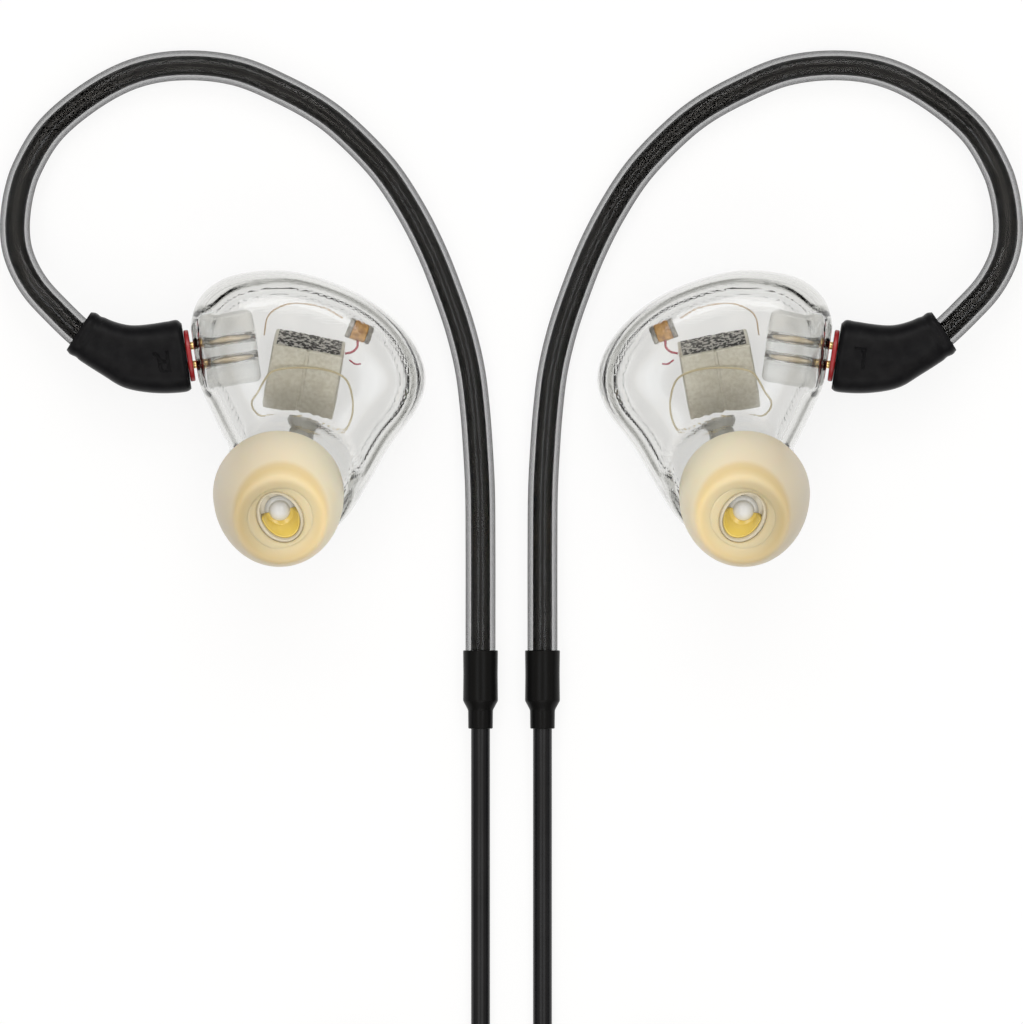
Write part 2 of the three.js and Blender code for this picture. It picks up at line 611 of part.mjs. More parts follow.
/** The pieces in the middle, which both sides share. */
function sharedPieces() {
  return [
    ["cord_slider", slider(), "blackRubber"],
    ["splitter", splitter(), "blackRubber"],
    ["main_cord", mainCord(), "blackJacket"],
    ["main_coil", coilBody(MAIN_COIL, MAIN_RADIUS, 0), "blackJacket"],
    ["main_coil_tie", coilTie(MAIN_COIL, MAIN_RADIUS, 0, -Math.PI / 2), "blackRubber"],
    ["main_cord_tail", mainCordTail(), "blackJacket"],
    ["plug_strain_relief", plugRelief(), "blackRubber"],
    ["plug_barrel", plugBarrel(), "blackRubber"],
    ["plug_sleeve_contact", plugContact(-1.6, CONTACT_ENDS.sleeve), "gold"],
    ["plug_ring_contact", plugContact(CONTACT_ENDS.sleeve + 0.5, CONTACT_ENDS.ring), "gold"],
    ["plug_tip_contact", plugTip(), "gold"],
    ["plug_insulator", plugInsulator(), "blackRubber"],
  ];
}

/** The mirror image in X, with its faces turned out again. */
function mirrored(geometry) {
  const copy = geometry.index ? geometry.clone() : mergeVertices(geometry.clone());
  copy.scale(-1, 1, 1);
  const index = copy.index.array;
  for (let i = 0; i < index.length; i += 3) [index[i], index[i + 1]] = [index[i + 1], index[i]];
  copy.computeVertexNormals();
  return copy;
}

function named(name, geometry, colour) {
  const [color, roughness, metalness] = COLOURS[colour];
  const mesh = new THREE.Mesh(geometry, new THREE.MeshStandardMaterial({ color, roughness, metalness }));
  mesh.name = name;
  return mesh;
}

const group = new THREE.Group();
for (const [name, geometry, colour] of sidePieces()) {
  group.add(named(`right_${name}`, geometry, colour));
  group.add(named(`left_${name}`, mirrored(geometry), colour));
}
for (const [name, geometry, colour] of sharedPieces()) group.add(named(name, geometry, colour));

export default group;
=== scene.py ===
"""A pair of in-ear monitors lying flat with their nozzles up, on a pale surface, seen from straight above.

Lengths are in millimetres until a mesh or curve is made, and the frame is the CAD model's: X from the right
unit to the left one, Y towards the tops of the ear hooks, Z up. Each side is drawn as the right one, at
negative X, and the left one is its mirror image.
"""

from math import cos, exp, hypot, pi, radians, sin, sqrt, tan

import bmesh
import bpy
import numpy as np
from mathutils import Matrix, Vector
from numpy.linalg import norm


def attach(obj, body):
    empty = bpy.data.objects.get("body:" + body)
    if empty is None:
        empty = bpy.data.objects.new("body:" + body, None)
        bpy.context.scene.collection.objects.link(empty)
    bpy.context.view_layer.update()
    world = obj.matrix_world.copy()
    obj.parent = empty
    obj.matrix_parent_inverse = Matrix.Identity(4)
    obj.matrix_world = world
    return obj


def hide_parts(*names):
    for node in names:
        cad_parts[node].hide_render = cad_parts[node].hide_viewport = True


MM = 0.001
SIDES = (("right", 1), ("left", -1))

# Camera: straight above the pair, far away, its view as wide as the pair.
VIEW_WIDTH = 102.3
VIEW_MIDDLE = (0.0, -12.26)
CAMERA_HEIGHT = 2000.0
FOCUS_HEIGHT = 5.0
SENSOR = 36.0

# Earpiece, as in the CAD model.
SHELL_MIDDLE = np.array([-20.5, 0.5])
SHELL_OUTLINE = [
    (-32.1, 6.6), (-31.2, 9.2), (-29.0, 11.0), (-26.0, 11.8), (-22.5, 11.9), (-18.9, 11.1),
    (-14.9, 9.4), (-11.6, 7.0), (-9.3, 4.0), (-8.45, 1.0), (-9.3, -1.9), (-12.1, -5.7),
    (-14.4, -9.7), (-16.6, -13.0), (-19.2, -14.9), (-21.9, -14.6), (-24.2, -12.2), (-26.2, -9.2),
    (-28.2, -5.9), (-30.0, -2.3), (-31.4, 1.0), (-32.0, 3.8),
]
PLATE_TOP = 1.5
# Profiles of the outline's solids: each point is a height and the outline's scale there.
PLATE_PROFILE = [(0.0, 0.0), (0.0, 0.40), (0.0, 0.80), (0.12, 0.83), (0.5, 0.86), (1.0, 0.885),
                 (PLATE_TOP, 0.9), *[(PLATE_TOP + 0.02, scale) for scale in (0.85, 0.4, 0.0)]]
SHELL_PROFILE = [(PLATE_TOP + 0.1, 0.0), (PLATE_TOP + 0.1, 0.45), (PLATE_TOP + 0.1, 0.88), (1.75, 0.912),
                 (3.0, 0.955), (4.2, 0.987), (5.4, 0.998), (7.2, 0.99), (9.0, 0.95), (10.4, 0.86),
                 (11.3, 0.72), (11.8, 0.5), (12.0, 0.25), (12.05, 0.0)]
CAVITY_PROFILE = [(0.9, 0.0), (0.9, 0.4), (0.9, 0.78), (3.0, 0.84), (4.6, 0.875), (6.3, 0.87), (7.0, 0.84),
                  (8.2, 0.825), (9.3, 0.75), (10.2, 0.5), (10.4, 0.25), (10.4, 0.0)]
NOZZLE_BASE = Vector((-23.2, -10.6, 11.0))
NOZZLE_AXIS = Vector((0.035, -0.34, 0.94)).normalized()
NOZZLE_TURN = radians(28)
NOZZLE_OVAL = 1.25
NOZZLE_TIP = 6.6
NOZZLE_PROFILE = [(-7.4, 0.0), (-7.4, 4.4), (-7.0, 4.6), (-5.0, 4.3), (-3.0, 3.5), (-1.4, 2.6), (0.0, 2.3),
                  (3.0, 2.25), (NOZZLE_TIP - 0.4, 2.3), (NOZZLE_TIP, 2.1), (NOZZLE_TIP, 0.0)]
HORN_DEPTH = 2.4
HORN_WIDTH = 1.85
HORN_OVAL = 1.38
TIP_BASE = -1.3
TIP_FRONT = 7.4
TIP_SKIRT = 6.5
STEM_OUTER = 3.65
SOUND_ROUTE = [(-20.9, -3.9, 5.2), (-21.3, -5.6, 6.0), (-22.3, -8.0, 8.0)]

# Connector, as in the CAD model: U runs along the pins into the shell.
PIN_ORIGIN = Vector((-31.62, 3.44, 5.5))
PIN_ANGLE = 8.7
PINS = (("upper", 0.95), ("lower", -0.95))
PIN_RADIUS = 0.39
BOOT_FACE = -0.85
SOCKET_START, SOCKET_LENGTH, SOCKET_WIDTH, SOCKET_HEIGHT = 1.5, 4.8, 7.2, 5.2

# Boot, hook and sleeve, as in the CAD model. Boot stations: x, y, half width, half height, heading.
BOOT_STATIONS = [
    (-43.2, 5.8, 2.25, 2.15, -33), (-42.6, 5.45, 2.42, 2.3, -32), (-41.2, 4.65, 2.55, 2.4, -30),
    (-39.6, 3.9, 2.8, 2.5, -24), (-38.0, 3.3, 3.2, 2.6, -14), (-36.0, 3.1, 3.45, 2.65, -2),
    (-34.0, 3.2, 3.6, 2.7, 6), (-32.85, 3.35, 3.6, 2.7, 8.7), (-32.46, 3.31, 3.3, 2.4, 8.7),
]
BOOT_CENTRE_Z = 5.5
HOOK_OUTER = 1.5
HOOK_SKIN = 0.04
HOOK_BODY = 1.43
HOOK_BORE = 1.0
HOOK_CORE = 0.96
HOOK_STEP = 0.5
HOOK_ROUTE = [
    (-41.3, 4.25, 5.4), (-43.15, 5.64, 5.4), (-45.55, 7.94, 5.2), (-47.4, 9.94, 4.9),
    (-48.65, 11.94, 4.5), (-49.4, 13.94, 4.0), (-49.65, 15.94, 3.6), (-49.55, 17.94, 3.1),
    (-49.2, 19.94, 2.7), (-48.55, 21.94, 2.3), (-46.15, 25.94, 1.8), (-41.2, 29.94, 1.6),
    (-37.0, 31.85, 1.5), (-32.35, 32.44, 1.5), (-27.4, 31.85, 1.5), (-22.75, 29.94, 1.5),
    (-19.15, 27.94, 1.5), (-16.6, 25.94, 1.5), (-12.75, 21.94, 1.5), (-10.1, 17.94, 1.5),
    (-8.05, 13.94, 1.5), (-6.45, 9.94, 1.5), (-5.1, 5.94, 1.5), (-4.15, 1.94, 1.5),
    (-3.65, -2.06, 1.55), (-3.35, -6.06, 1.6), (-3.15, -10.06, 1.7), (-3.1, -16, 1.75),
    (-3.1, -23.5, 1.75), (-3.1, -31.2, 1.75),
]
SLEEVE_TOP = -26.1
SLEEVE_SHOULDER = -31.35
SLEEVE_END = -33.94
SLEEVE_WIDE = 1.75
SLEEVE_NARROW = 1.23

# Cords, as in the CAD model.
BRANCH_RADIUS = 0.95
MAIN_RADIUS = 1.2
BRANCH_X = -3.1
PAIR_X = -1.15
PAIR_Z = 1.6
COIL_BASE = 0.6
BRANCH_COIL = {"turns": 2.5, "mean": 10.0, "y": -79.5}
MAIN_COIL = {"turns": 4.75, "mean": 13.5, "y": -135.0}
TIE_THICK = 0.5
POINTS_PER_TURN = 12
SPLITTER_TOP, SPLITTER_BOTTOM, SPLITTER_Z = -110.0, -121.0, 2.1
SLIDER_Y, SLIDER_LENGTH, SLIDER_HALF = -106.0, 6.0, (2.75, 1.6)
BRANCH_ROUTE = [
    (BRANCH_X, SLEEVE_SHOULDER - 0.3, 1.75), (BRANCH_X, -34.5, 1.75), (BRANCH_X, -38.5, 1.5),
    (BRANCH_X, -43.5, 1.1), (BRANCH_X, -49, 0.95), (BRANCH_X, -60, 0.95), (BRANCH_X, -72.1, 0.95),
    (BRANCH_X, -76, 1.35),
]
BRANCH_TAIL_ROUTE = [
    (BRANCH_X, -83, 3.4), (-3.05, -86.9, 2.85), (-2.5, -89.6, 2.3), (-1.6, -92.6, 1.8),
    (-1.22, -95.3, PAIR_Z), (PAIR_X, -98, PAIR_Z), (PAIR_X, -105, PAIR_Z),
    (PAIR_X, SPLITTER_TOP - 2.2, PAIR_Z),
]
MAIN_ROUTE = [
    (0, SPLITTER_BOTTOM + 2.2, 2.1), (0, -121.5, 2.1), (0, -122.6, 2.05), (0, -123.8, 2.0),
    (0, -128, 1.85), (0, -131.5, 1.8),
]
MAIN_OUT_X = -2 * (MAIN_COIL["mean"] + MAIN_COIL["turns"] * MAIN_RADIUS)
PLUG_Z = 3.75
RELIEF_START, BARREL_START, BARREL_END = -118.0, -110.0, -94.0
MAIN_TAIL_ROUTE = [
    (MAIN_OUT_X, -131.5, 4.2), (MAIN_OUT_X, -128, 4.2), (MAIN_OUT_X, -124.4, 4.0),
    (MAIN_OUT_X, -121, PLUG_Z), (MAIN_OUT_X, RELIEF_START + 2, PLUG_Z),
]


# ---- curves and meshes


def smooth_line(points, step, closed=False):
    """Points about a step apart on a centripetal Catmull-Rom curve."""
    p = np.array(points, float)
    if closed:
        p = np.vstack([p[-1], p, p[:2]])
    else:
        p = np.vstack([2 * p[0] - p[1], p, 2 * p[-1] - p[-2]])
    line = []
    for a, b, c, d in zip(p[:-3], p[1:-2], p[2:-1], p[3:], strict=True):
        t1 = sqrt(norm(b - a))
        t2 = t1 + sqrt(norm(c - b))
        t3 = t2 + sqrt(norm(d - c))
        count = max(1, round(float(norm(c - b)) / step))
        for t in t1 + (t2 - t1) * np.arange(count) / count:
            ab = a + (b - a) * t / t1
            bc = b + (c - b) * (t - t1) / (t2 - t1)
            cd = c + (d - c) * (t - t2) / (t3 - t2)
            abc = ab + (bc - ab) * t / t2
            bcd = bc + (cd - bc) * (t - t1) / (t3 - t1)
            line.append(abc + (bcd - abc) * (t - t1) / (t2 - t1))
    if not closed:
        line.append(p[-2])
    return np.array(line)


def evenly(line, count):
    """A closed line's points, spaced evenly."""
    ring = np.vstack([line, line[:1]])
    along = np.concatenate([[0], np.cumsum(norm(np.diff(ring, axis=0), axis=1))])
    at = np.linspace(0, along[-1], count, endpoint=False)
    return np.stack([np.interp(at, along, ring[:, k]) for k in range(ring.shape[1])], 1)


def new_object(name, data):
    made = bpy.data.objects.new(name, data)
    bpy.context.scene.collection.objects.link(made)
    return made


def finished(name, work, mesh, paint):
    """A smooth-shaded piece from a mesh at work."""
    work.to_mesh(mesh)
    work.free()
    mesh.shade_smooth()
    mesh.materials.append(paint)
    return new_object(name, mesh)


def mesh_piece(name, points, faces, paint):
    """A smooth-shaded mesh from points in millimetres, its faces turned out."""
    mesh = bpy.data.meshes.new(name)
    mesh.from_pydata([tuple(p) for p in np.array(points, float) * MM], [], faces)
    work = bmesh.new()
    work.from_mesh(mesh)
    bmesh.ops.remove_doubles(work, verts=work.verts, dist=1e-7)
    bmesh.ops.recalc_face_normals(work, faces=work.faces)
    return finished(name, work, mesh, paint)


def ring_faces(rings, count, loop):
    """Quads between neighbouring rings, and a cap on each end unless the rings close on themselves."""
    faces = []
    for r in range(rings if loop else rings - 1):
        low, high = r * count, ((r + 1) % rings) * count
        faces += [(low + i, low + (i + 1) % count, high + (i + 1) % count, high + i) for i in range(count)]
    if not loop:
        faces += [tuple(range(count))[::-1], tuple(range((rings - 1) * count, rings * count))]
    return faces


def loft(name, rings, paint, loop=False):
    return mesh_piece(name, np.vstack(rings), ring_faces(len(rings), len(rings[0]), loop), paint)


def axis_matrix(origin, axis):
    """Takes +Z onto an axis through a point."""
    turn = Vector((0, 0, 1)).rotation_difference(Vector(axis)).to_matrix().to_4x4()
    return Matrix.Translation(origin) @ turn


def placed(x, y, z, heading=0.0):
    """A place in millimetres, turned about Z by an angle in degrees."""
    return Matrix.Translation((x, y, z)) @ Matrix.Rotation(radians(heading), 4, "Z")


def turned(name, profile, paint, origin, axis, segments, loop=True, turn=0.0):
    """A solid of revolution from (radius, station) points, or (radius, station, oval) ones.

    It closes on itself, or on the axis if loop is False.
    """
    place = axis_matrix(origin, axis) @ Matrix.Rotation(turn, 4, "Z")
    angles = [2 * pi * i / segments for i in range(segments)]
    rings = []
    for radius, station, *oval in profile:
        stretch = oval[0] if oval else 1.0
        rings.append([tuple(place @ Vector((radius * cos(t), radius * stretch * sin(t), station)))
                      for t in angles])
    return loft(name, rings, paint, loop)


def with_oval(profile, oval):
    return [(radius, station, oval) for radius, station in profile]


ARC_POINTS = 4


def rounded(profile, radius):
    """A profile's points with each corner cut by a small arc. It closes on itself."""
    points = [np.array(p, float) for p in profile]
    out = []
    for i, p in enumerate(points):
        before, after = points[i - 1] - p, points[(i + 1) % len(points)] - p
        trim = min(radius, 0.45 * norm(before), 0.45 * norm(after))
        a = p + before / norm(before) * trim
        b = p + after / norm(after) * trim
        out += [(1 - t) ** 2 * a + 2 * t * (1 - t) * p + t * t * b for t in np.linspace(0, 1, ARC_POINTS)]
    return out


def round_ring(middle, radius, across, up, sides):
    angles = 2 * pi * np.arange(sides) / sides
    return middle + radius * (np.cos(angles)[:, None] * across + np.sin(angles)[:, None] * up)


def squarish(sides, power):
    """Points round a squarish oval of half size 1, as their two coordinates."""
    t = 2 * pi * np.arange(sides) / sides
    return [np.sign(side) * np.abs(side) ** power for side in (np.cos(t), np.sin(t))]


def rings_along(line, radius, sides):
    """Round sections along a line, carried without twist."""
    line = np.array(line, float)
    tangents = np.gradient(line, axis=0)
    tangents /= norm(tangents, axis=1)[:, None]
    normal = np.cross(tangents[0], (0, 0, 1.0) if abs(tangents[0][2]) < 0.9 else (1.0, 0, 0))
    rings = []
    for p, t in zip(line, tangents, strict=True):
        normal = normal - t * np.dot(normal, t)
        normal /= norm(normal)
        rings.append(round_ring(p, radius, normal, np.cross(t, normal), sides))
    return rings


def rod_along(name, line, radius, paint, sides):
    return loft(name, rings_along(line, radius, sides), paint)


def tube_along(name, line, radius, bore, paint, sides):
    outside = rings_along(line, radius, sides)
    inside = rings_along(line, bore, sides)
    return loft(name, outside + inside[::-1], paint, loop=True)


def box_piece(name, size, paint, bevel, place):
    """A box with rounded edges, put in place by a matrix in millimetres."""
    work = bmesh.new()
    bmesh.ops.create_cube(work, size=1.0)
    bmesh.ops.scale(work, vec=size, verts=work.verts)
    bmesh.ops.bevel(work, geom=work.edges, offset=bevel, segments=4, profile=0.5, affect="EDGES")
    bmesh.ops.transform(work, matrix=Matrix.Scale(MM, 4) @ place, verts=work.verts)
    return finished(name, work, bpy.data.meshes.new(name), paint)


def apply_modifier(piece, kind, **settings):
    """Runs one modifier and keeps its result as the piece's mesh."""
    modifier = piece.modifiers.new("step", kind)
    for key, value in settings.items():
        setattr(modifier, key, value)
    evaluated = piece.evaluated_get(bpy.context.evaluated_depsgraph_get())
    mesh = bpy.data.meshes.new_from_object(evaluated)
    piece.modifiers.clear()
    old = piece.data
    piece.data = mesh
    bpy.data.meshes.remove(old)
    return piece


def boolean(piece, operation, *tools):
    """Joins or cuts a piece with others, which are used up."""
    for tool in tools:
        apply_modifier(piece, "BOOLEAN", operation=operation, object=tool, solver="MANIFOLD")
        bpy.data.objects.remove(tool)
    return piece


def cut(piece, *tools):
    return boolean(piece, "DIFFERENCE", *tools)


def join(piece, *tools):
    return boolean(piece, "UNION", *tools)


def grow_smooth(piece, voxel, iterations):
    """Remeshes a piece evenly and rounds its edges."""
    apply_modifier(piece, "REMESH", mode="VOXEL", voxel_size=voxel * MM)
    apply_modifier(piece, "SMOOTH", factor=0.5, iterations=iterations)


def mirror(piece):
    piece.data.transform(Matrix.Scale(-1, 4, (1, 0, 0)))
    piece.data.flip_normals()
    return piece


def mirrored(piece, name):
    """The left side's copy of a right-side piece."""
    return mirror(new_object(name, piece.data.copy()))


def settle(piece, body, slot, nodes):
    """Puts a piece on its body, for the CAD nodes that it replaces; its material slot is not used."""
    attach(piece, body)
    if nodes:
        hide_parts(*nodes)
    return piece


def both_sides(right, body, slot, *nodes):
    """Mirrors a piece made for the right side, and puts each of the two on its body for its CAD nodes."""
    base = right.name
    right.name = f"right_{base}"
    for (side, _), piece in zip(SIDES, (right, mirrored(right, f"left_{base}")), strict=True):
        own_body = body if body == "cable" else f"{side}_{body}"
        settle(piece, own_body, slot, [f"{side}_{n}" for n in nodes])


# ---- materials


def feed(made, socket, value):
    """Links another node's output to an input socket, or sets the socket's own value."""
    if isinstance(value, bpy.types.NodeSocket):
        made.node_tree.links.new(value, socket)
    else:
        socket.default_value = value


def node(made, kind, *inputs, operation=None, output=0, **named):
    """One output of a new node. Its inputs are values or other nodes' outputs, in order or by name."""
    new = made.node_tree.nodes.new(f"ShaderNode{kind}")
    if operation:
        new.operation = operation
    for k, value in enumerate(inputs):
        feed(made, new.inputs[k], value)
    for key, value in named.items():
        feed(made, new.inputs[key.replace("_", " ")], value)
    return new.outputs[output]


def shade(made, key, value):
    feed(made, made.node_tree.nodes["Principled BSDF"].inputs[key.replace("_", " ")], value)


def rgba(colour):
    """A colour with its alpha, from three parts or one grey level."""
    return (*(colour if isinstance(colour, tuple) else (colour,) * 3), 1.0)


def material(name, colour, roughness, **sockets):
    made = bpy.data.materials.new(name)
    made.use_nodes = True
    for key, value in {"Base_Color": rgba(colour), "Roughness": roughness, **sockets}.items():
        shade(made, key, value)
    return made


def object_noise(made, scale, detail):
    """A noise in the object's own coordinates. scale is in features per metre."""
    place = node(made, "TexCoord", output="Object")
    return node(made, "TexNoise", Vector=place, Scale=scale, Detail=detail)


def add_bump(made, scale, strength, distance=0.05, detail=3.0):
    """Fine relief from a noise, distance millimetres deep."""
    height = object_noise(made, scale, detail)
    shade(made, "Normal", node(made, "Bump", Height=height, Strength=strength, Distance=distance * MM))
    return made


def ramp(made, source, stops):
    """The colour that a ramp gives for a source."""
    colour = node(made, "ValToRGB", source)
    elements = colour.node.color_ramp.elements
    elements.remove(elements[-1])
    for k, (at, shown) in enumerate(stops):
        element = elements[0] if k == 0 else elements.new(at)
        element.position = at
        element.color = rgba(shown)
    return colour


MOTTLE_DETAIL = 6.0


def add_mottle(made, scale, dark, light, low=0.35, high=0.65):
    """Varies the base colour by a noise between two colours."""
    level = object_noise(made, scale, MOTTLE_DETAIL)
    shade(made, "Base Color", ramp(made, level, [(low, dark), (high, light)]))
    return made


def absorbing(made, colour, density):
    """Gives a clear material its tint in depth. density is in absorptions per metre."""
    tint = node(made, "VolumeAbsorption", rgba(colour), density)
    feed(made, made.node_tree.nodes["Material Output"].inputs["Volume"], tint)
    return made


def clear_acrylic():
    clear = material("clear_acrylic", 1, 0.02, IOR=1.49, Transmission_Weight=1.0)
    return add_bump(absorbing(clear, (0.757, 0.757, 0.735), 260), 160, 0.24, distance=0.25, detail=2.0)


def frosted_acrylic():
    frosted = material("frosted_acrylic", (0.86, 0.79, 0.62), 0.3, IOR=1.4, Transmission_Weight=0.3,
                       Coat_Weight=0.4)
    return add_bump(frosted, 900, 0.1)


def clear_vinyl():
    clear = material("clear_vinyl", 1, 0.0, IOR=1.25, Transmission_Weight=1.0)
    return add_bump(absorbing(clear, (0.3, 0.3, 0.31), 420), 300, 0.01, detail=0.0)


def edge_shade_skin():
    """A skin over the tube that takes light away and bends none, so it draws a thin dark edge: painted
    shade for the tube's rim.
    """
    skin = material("edge_shade_skin", 1, 0.0, IOR=1.0, Transmission_Weight=1.0)
    return add_bump(absorbing(skin, 0.08, 4200), 300, 0.0, detail=0.0)


def tube_vinyl():
    milky = material("tube_vinyl", (0.80, 0.80, 0.77), 0.25, IOR=1.4, Transmission_Weight=0.25)
    return add_bump(milky, 900, 0.05)


def boot_rubber():
    made = material("boot_rubber", (0.012, 0.012, 0.013), 0.32, Specular_IOR_Level=0.06)
    add_mottle(made, 900, (0.006, 0.006, 0.007), (0.010, 0.010, 0.011))
    return add_bump(made, 5200, 0.25, 0.03)


def shrink_sleeve():
    return add_bump(material("shrink_sleeve", 0.005, 0.28, Specular_IOR_Level=0.08), 700, 0.35, 0.06)


def cord_jacket():
    made = material("cord_jacket", 0.006, 0.3, Specular_IOR_Level=0.25)
    return add_mottle(made, 300, (0.003, 0.003, 0.004), (0.006, 0.006, 0.007))


def hook_jacket():
    return add_mottle(material("hook_jacket", 0.007, 0.6, Specular_IOR_Level=0.35), 300, 0.006, 0.008)


def gold_plate():
    return add_bump(material("gold_plate", (0.86, 0.62, 0.28), 0.18, Metallic=1.0), 3000, 0.08, 0.02)


def driver_steel():
    made = material("driver_steel", (0.8, 0.77, 0.66), 0.4, Metallic=0.25)
    add_mottle(made, 2400, (0.74, 0.71, 0.60), (0.88, 0.86, 0.76))
    return add_bump(made, 3600, 0.4, 0.02)


def contact_plate():
    return add_bump(material("contact_plate", (0.74, 0.62, 0.44), 0.38, Metallic=0.8), 3000, 0.08, 0.02)


def driver_end():
    return add_mottle(material("driver_end", 0.1, 0.6), 2600, 0.008, (0.62, 0.61, 0.57), 0.47, 0.56)


def ceramic(name, dark, light):
    return add_bump(add_mottle(material(name, light, 0.4), 1800, dark, light), 2500, 0.3)


def enamel(name, colour):
    return add_bump(material(name, colour, 0.3), 3000, 0.05)


def damper_mesh():
    return add_bump(material("damper_mesh", (0.72, 0.74, 0.76), 0.35, Coat_Weight=0.5), 9000, 0.3, 0.05)


def marker_red():
    return add_bump(material("marker_red", (0.42, 0.015, 0.02), 0.25), 1500, 0.1)


# The amber zone at the tip's front: its middle and its size in X and Y, and the colours from the middle
# outwards, by the distance in sizes.
AMBER_MIDDLE = (22.9, -12.4)
AMBER_SIZE = (9.2, 10.0)
TIP_STOPS = [(0.225, (0.71, 0.60, 0.38)), (0.36, (0.70, 0.585, 0.36)), (0.45, (0.69, 0.55, 0.29)),
             (0.49, (0.71, 0.57, 0.32)), (0.535, (0.79, 0.69, 0.50)), (0.75, (0.81, 0.72, 0.55))]
# Painted shade: how much darker the tip's colour gets over that size, outwards in X and downwards in Y.
TIP_PAINTED_SHADE = (0.368, 0.216)


def tip_silicone():
    """Cream, turning amber and then beige towards the nozzle, and darker towards the outer lower side with
    painted shade.
    """
    made = material("tip_silicone", (0.87, 0.78, 0.60), 0.42, Subsurface_Weight=0.3,
                    Subsurface_Scale=0.0012, Subsurface_Radius=(1.0, 0.6, 0.3))
    either_side = node(made, "VectorMath", node(made, "TexCoord", output="Object"), operation="ABSOLUTE")
    scale = [1 / (size * MM) for size in AMBER_SIZE]
    middle = [-abs(at) * MM * by for at, by in zip(AMBER_MIDDLE, scale, strict=True)]
    zone = node(made, "Mapping", either_side, Location=(*middle, 0), Scale=(*scale, 0))
    reach = node(made, "VectorMath", zone, operation="LENGTH", output="Value")
    # painted shade: the tip's colour is scaled down outwards and downwards
    painted_shade = node(made, "VectorMath", zone, (*TIP_PAINTED_SHADE, 0), operation="DOT_PRODUCT", output="Value")
    level = node(made, "Math", 1.0, painted_shade, operation="SUBTRACT")
    colour = ramp(made, reach, TIP_STOPS)
    shade(made, "Base Color", node(made, "VectorMath", colour, operation="SCALE", Scale=level))
    return add_bump(made, 1800, 0.08, 0.03)


def amber_resin():
    return add_bump(material("amber_resin", (0.75, 0.56, 0.12), 0.15, Coat_Weight=0.5), 1500, 0.1)


def bead_resin():
    return add_bump(material("bead_resin", (0.80, 0.70, 0.45), 0.3, Coat_Weight=0.3), 1500, 0.1)


def plug_shell():
    return add_bump(material("plug_shell", (0.02, 0.02, 0.022), 0.35, Metallic=0.6), 4000, 0.1, 0.02)


def insulator():
    return add_bump(material("insulator", 0.015, 0.4), 2000, 0.1)


def strap_weave():
    return add_bump(material("strap", (0.012, 0.012, 0.013), 0.8), 3600, 0.7, 0.08)


# ---- earpiece

OUTLINE_COUNT = 144
_outline = evenly(smooth_line(SHELL_OUTLINE, 0.4, closed=True), OUTLINE_COUNT)


def shell_rings(profile, step=0.35):
    """The shell's outline, scaled about its middle, at each height of a smoothed profile."""
    rings = []
    for height, scale in smooth_line([(h, 12 * s) for h, s in profile], step):
        ring = SHELL_MIDDLE + (_outline - SHELL_MIDDLE) * max(scale, 0.02) / 12
        rings.append(np.column_stack([ring, np.full(len(ring), height)]))
    return rings


def pin_matrix(u=0.0, v=0.0):
    """Puts a solid drawn along +X at the origin into the connector's frame."""
    return placed(*PIN_ORIGIN, PIN_ANGLE) @ placed(u, v, 0)


def pin_turned(name, profile, paint, v, segments=32, loop=True):
    """A solid of revolution along a pin's axis."""
    axis = pin_matrix().to_3x3() @ Vector((1, 0, 0))
    return turned(name, profile, paint, pin_matrix(v=v).translation, axis, segments, loop)


def pin_rod(name, radius, start, end, v, paint):
    profile = [(0.001, start), (radius * 0.7, start), (radius, start + 0.25 * radius),
               (radius, end - 0.6 * radius), (radius * 0.6, end), (0.001, end)]
    return pin_turned(name, profile, paint, v, loop=False)


def on_nozzle(station):
    return NOZZLE_BASE + NOZZLE_AXIS * station


def nozzle_turned(name, profile, paint, segments, loop=True, turn=0.0):
    """A solid of revolution along the nozzle's axis."""
    return turned(name, profile, paint, NOZZLE_BASE, NOZZLE_AXIS, segments, loop, turn)


def sound_line(extra=()):
    points = SOUND_ROUTE + [tuple(on_nozzle(s)) for s in (-1, 1.6, HORN_FLOOR, *extra)]
    return smooth_line(points, 0.4)


def tip_seat(drop, paint):
    """A wide shallow dish round the nozzle that leaves room for the ear tip's skirt."""
    floor = TIP_BASE - 0.5 - drop
    dish = [(0.1, 0), (0.8, 0.3), (1.8, 1.1), (3.2, 2.6), (5, 5), (8, 10)]
    profile = [(0.001, floor), *[(TIP_SKIRT + out, floor + up) for out, up in dish], (0.001, floor + 10)]
    return nozzle_turned("seat", profile, paint, 96, loop=False)


SOCKET_PLACE = pin_matrix(u=SOCKET_START + SOCKET_LENGTH / 2)
SHELL_WALL = 1.9
HORN_FLOOR = NOZZLE_TIP - HORN_DEPTH


def solid_shell(paint):
    """The shell's body and spout grown together, with the flat face that the socket looks out of."""
    body = loft("shell", shell_rings(SHELL_PROFILE), paint)
    cut(body, tip_seat(0.0, paint))
    grow_smooth(body, 0.25, 40)
    line = smooth_line(NOZZLE_PROFILE, 0.3)
    profile = with_oval([(max(width, 0.02), station) for station, width in line], NOZZLE_OVAL)
    join(body, nozzle_turned("spout", profile, paint, 72, False, NOZZLE_TURN))
    cut(body, box_piece("face", (6, 30, 30), paint, 0.05, pin_matrix(u=-3)))
    grow_smooth(body, 0.2, 12)
    return body


def cavity_piece(paint):
    """The room inside the shell, joined to the one round the socket."""
    cavity = loft("cavity", shell_rings(CAVITY_PROFILE, 0.5), paint)
    cut(cavity, tip_seat(SHELL_WALL, paint))
    size = (SOCKET_LENGTH + 0.5, SOCKET_WIDTH + 0.6, SOCKET_HEIGHT + 0.6)
    join(cavity, box_piece("room", size, paint, 0.6, SOCKET_PLACE))
    grow_smooth(cavity, 0.25, 24)
    return cavity


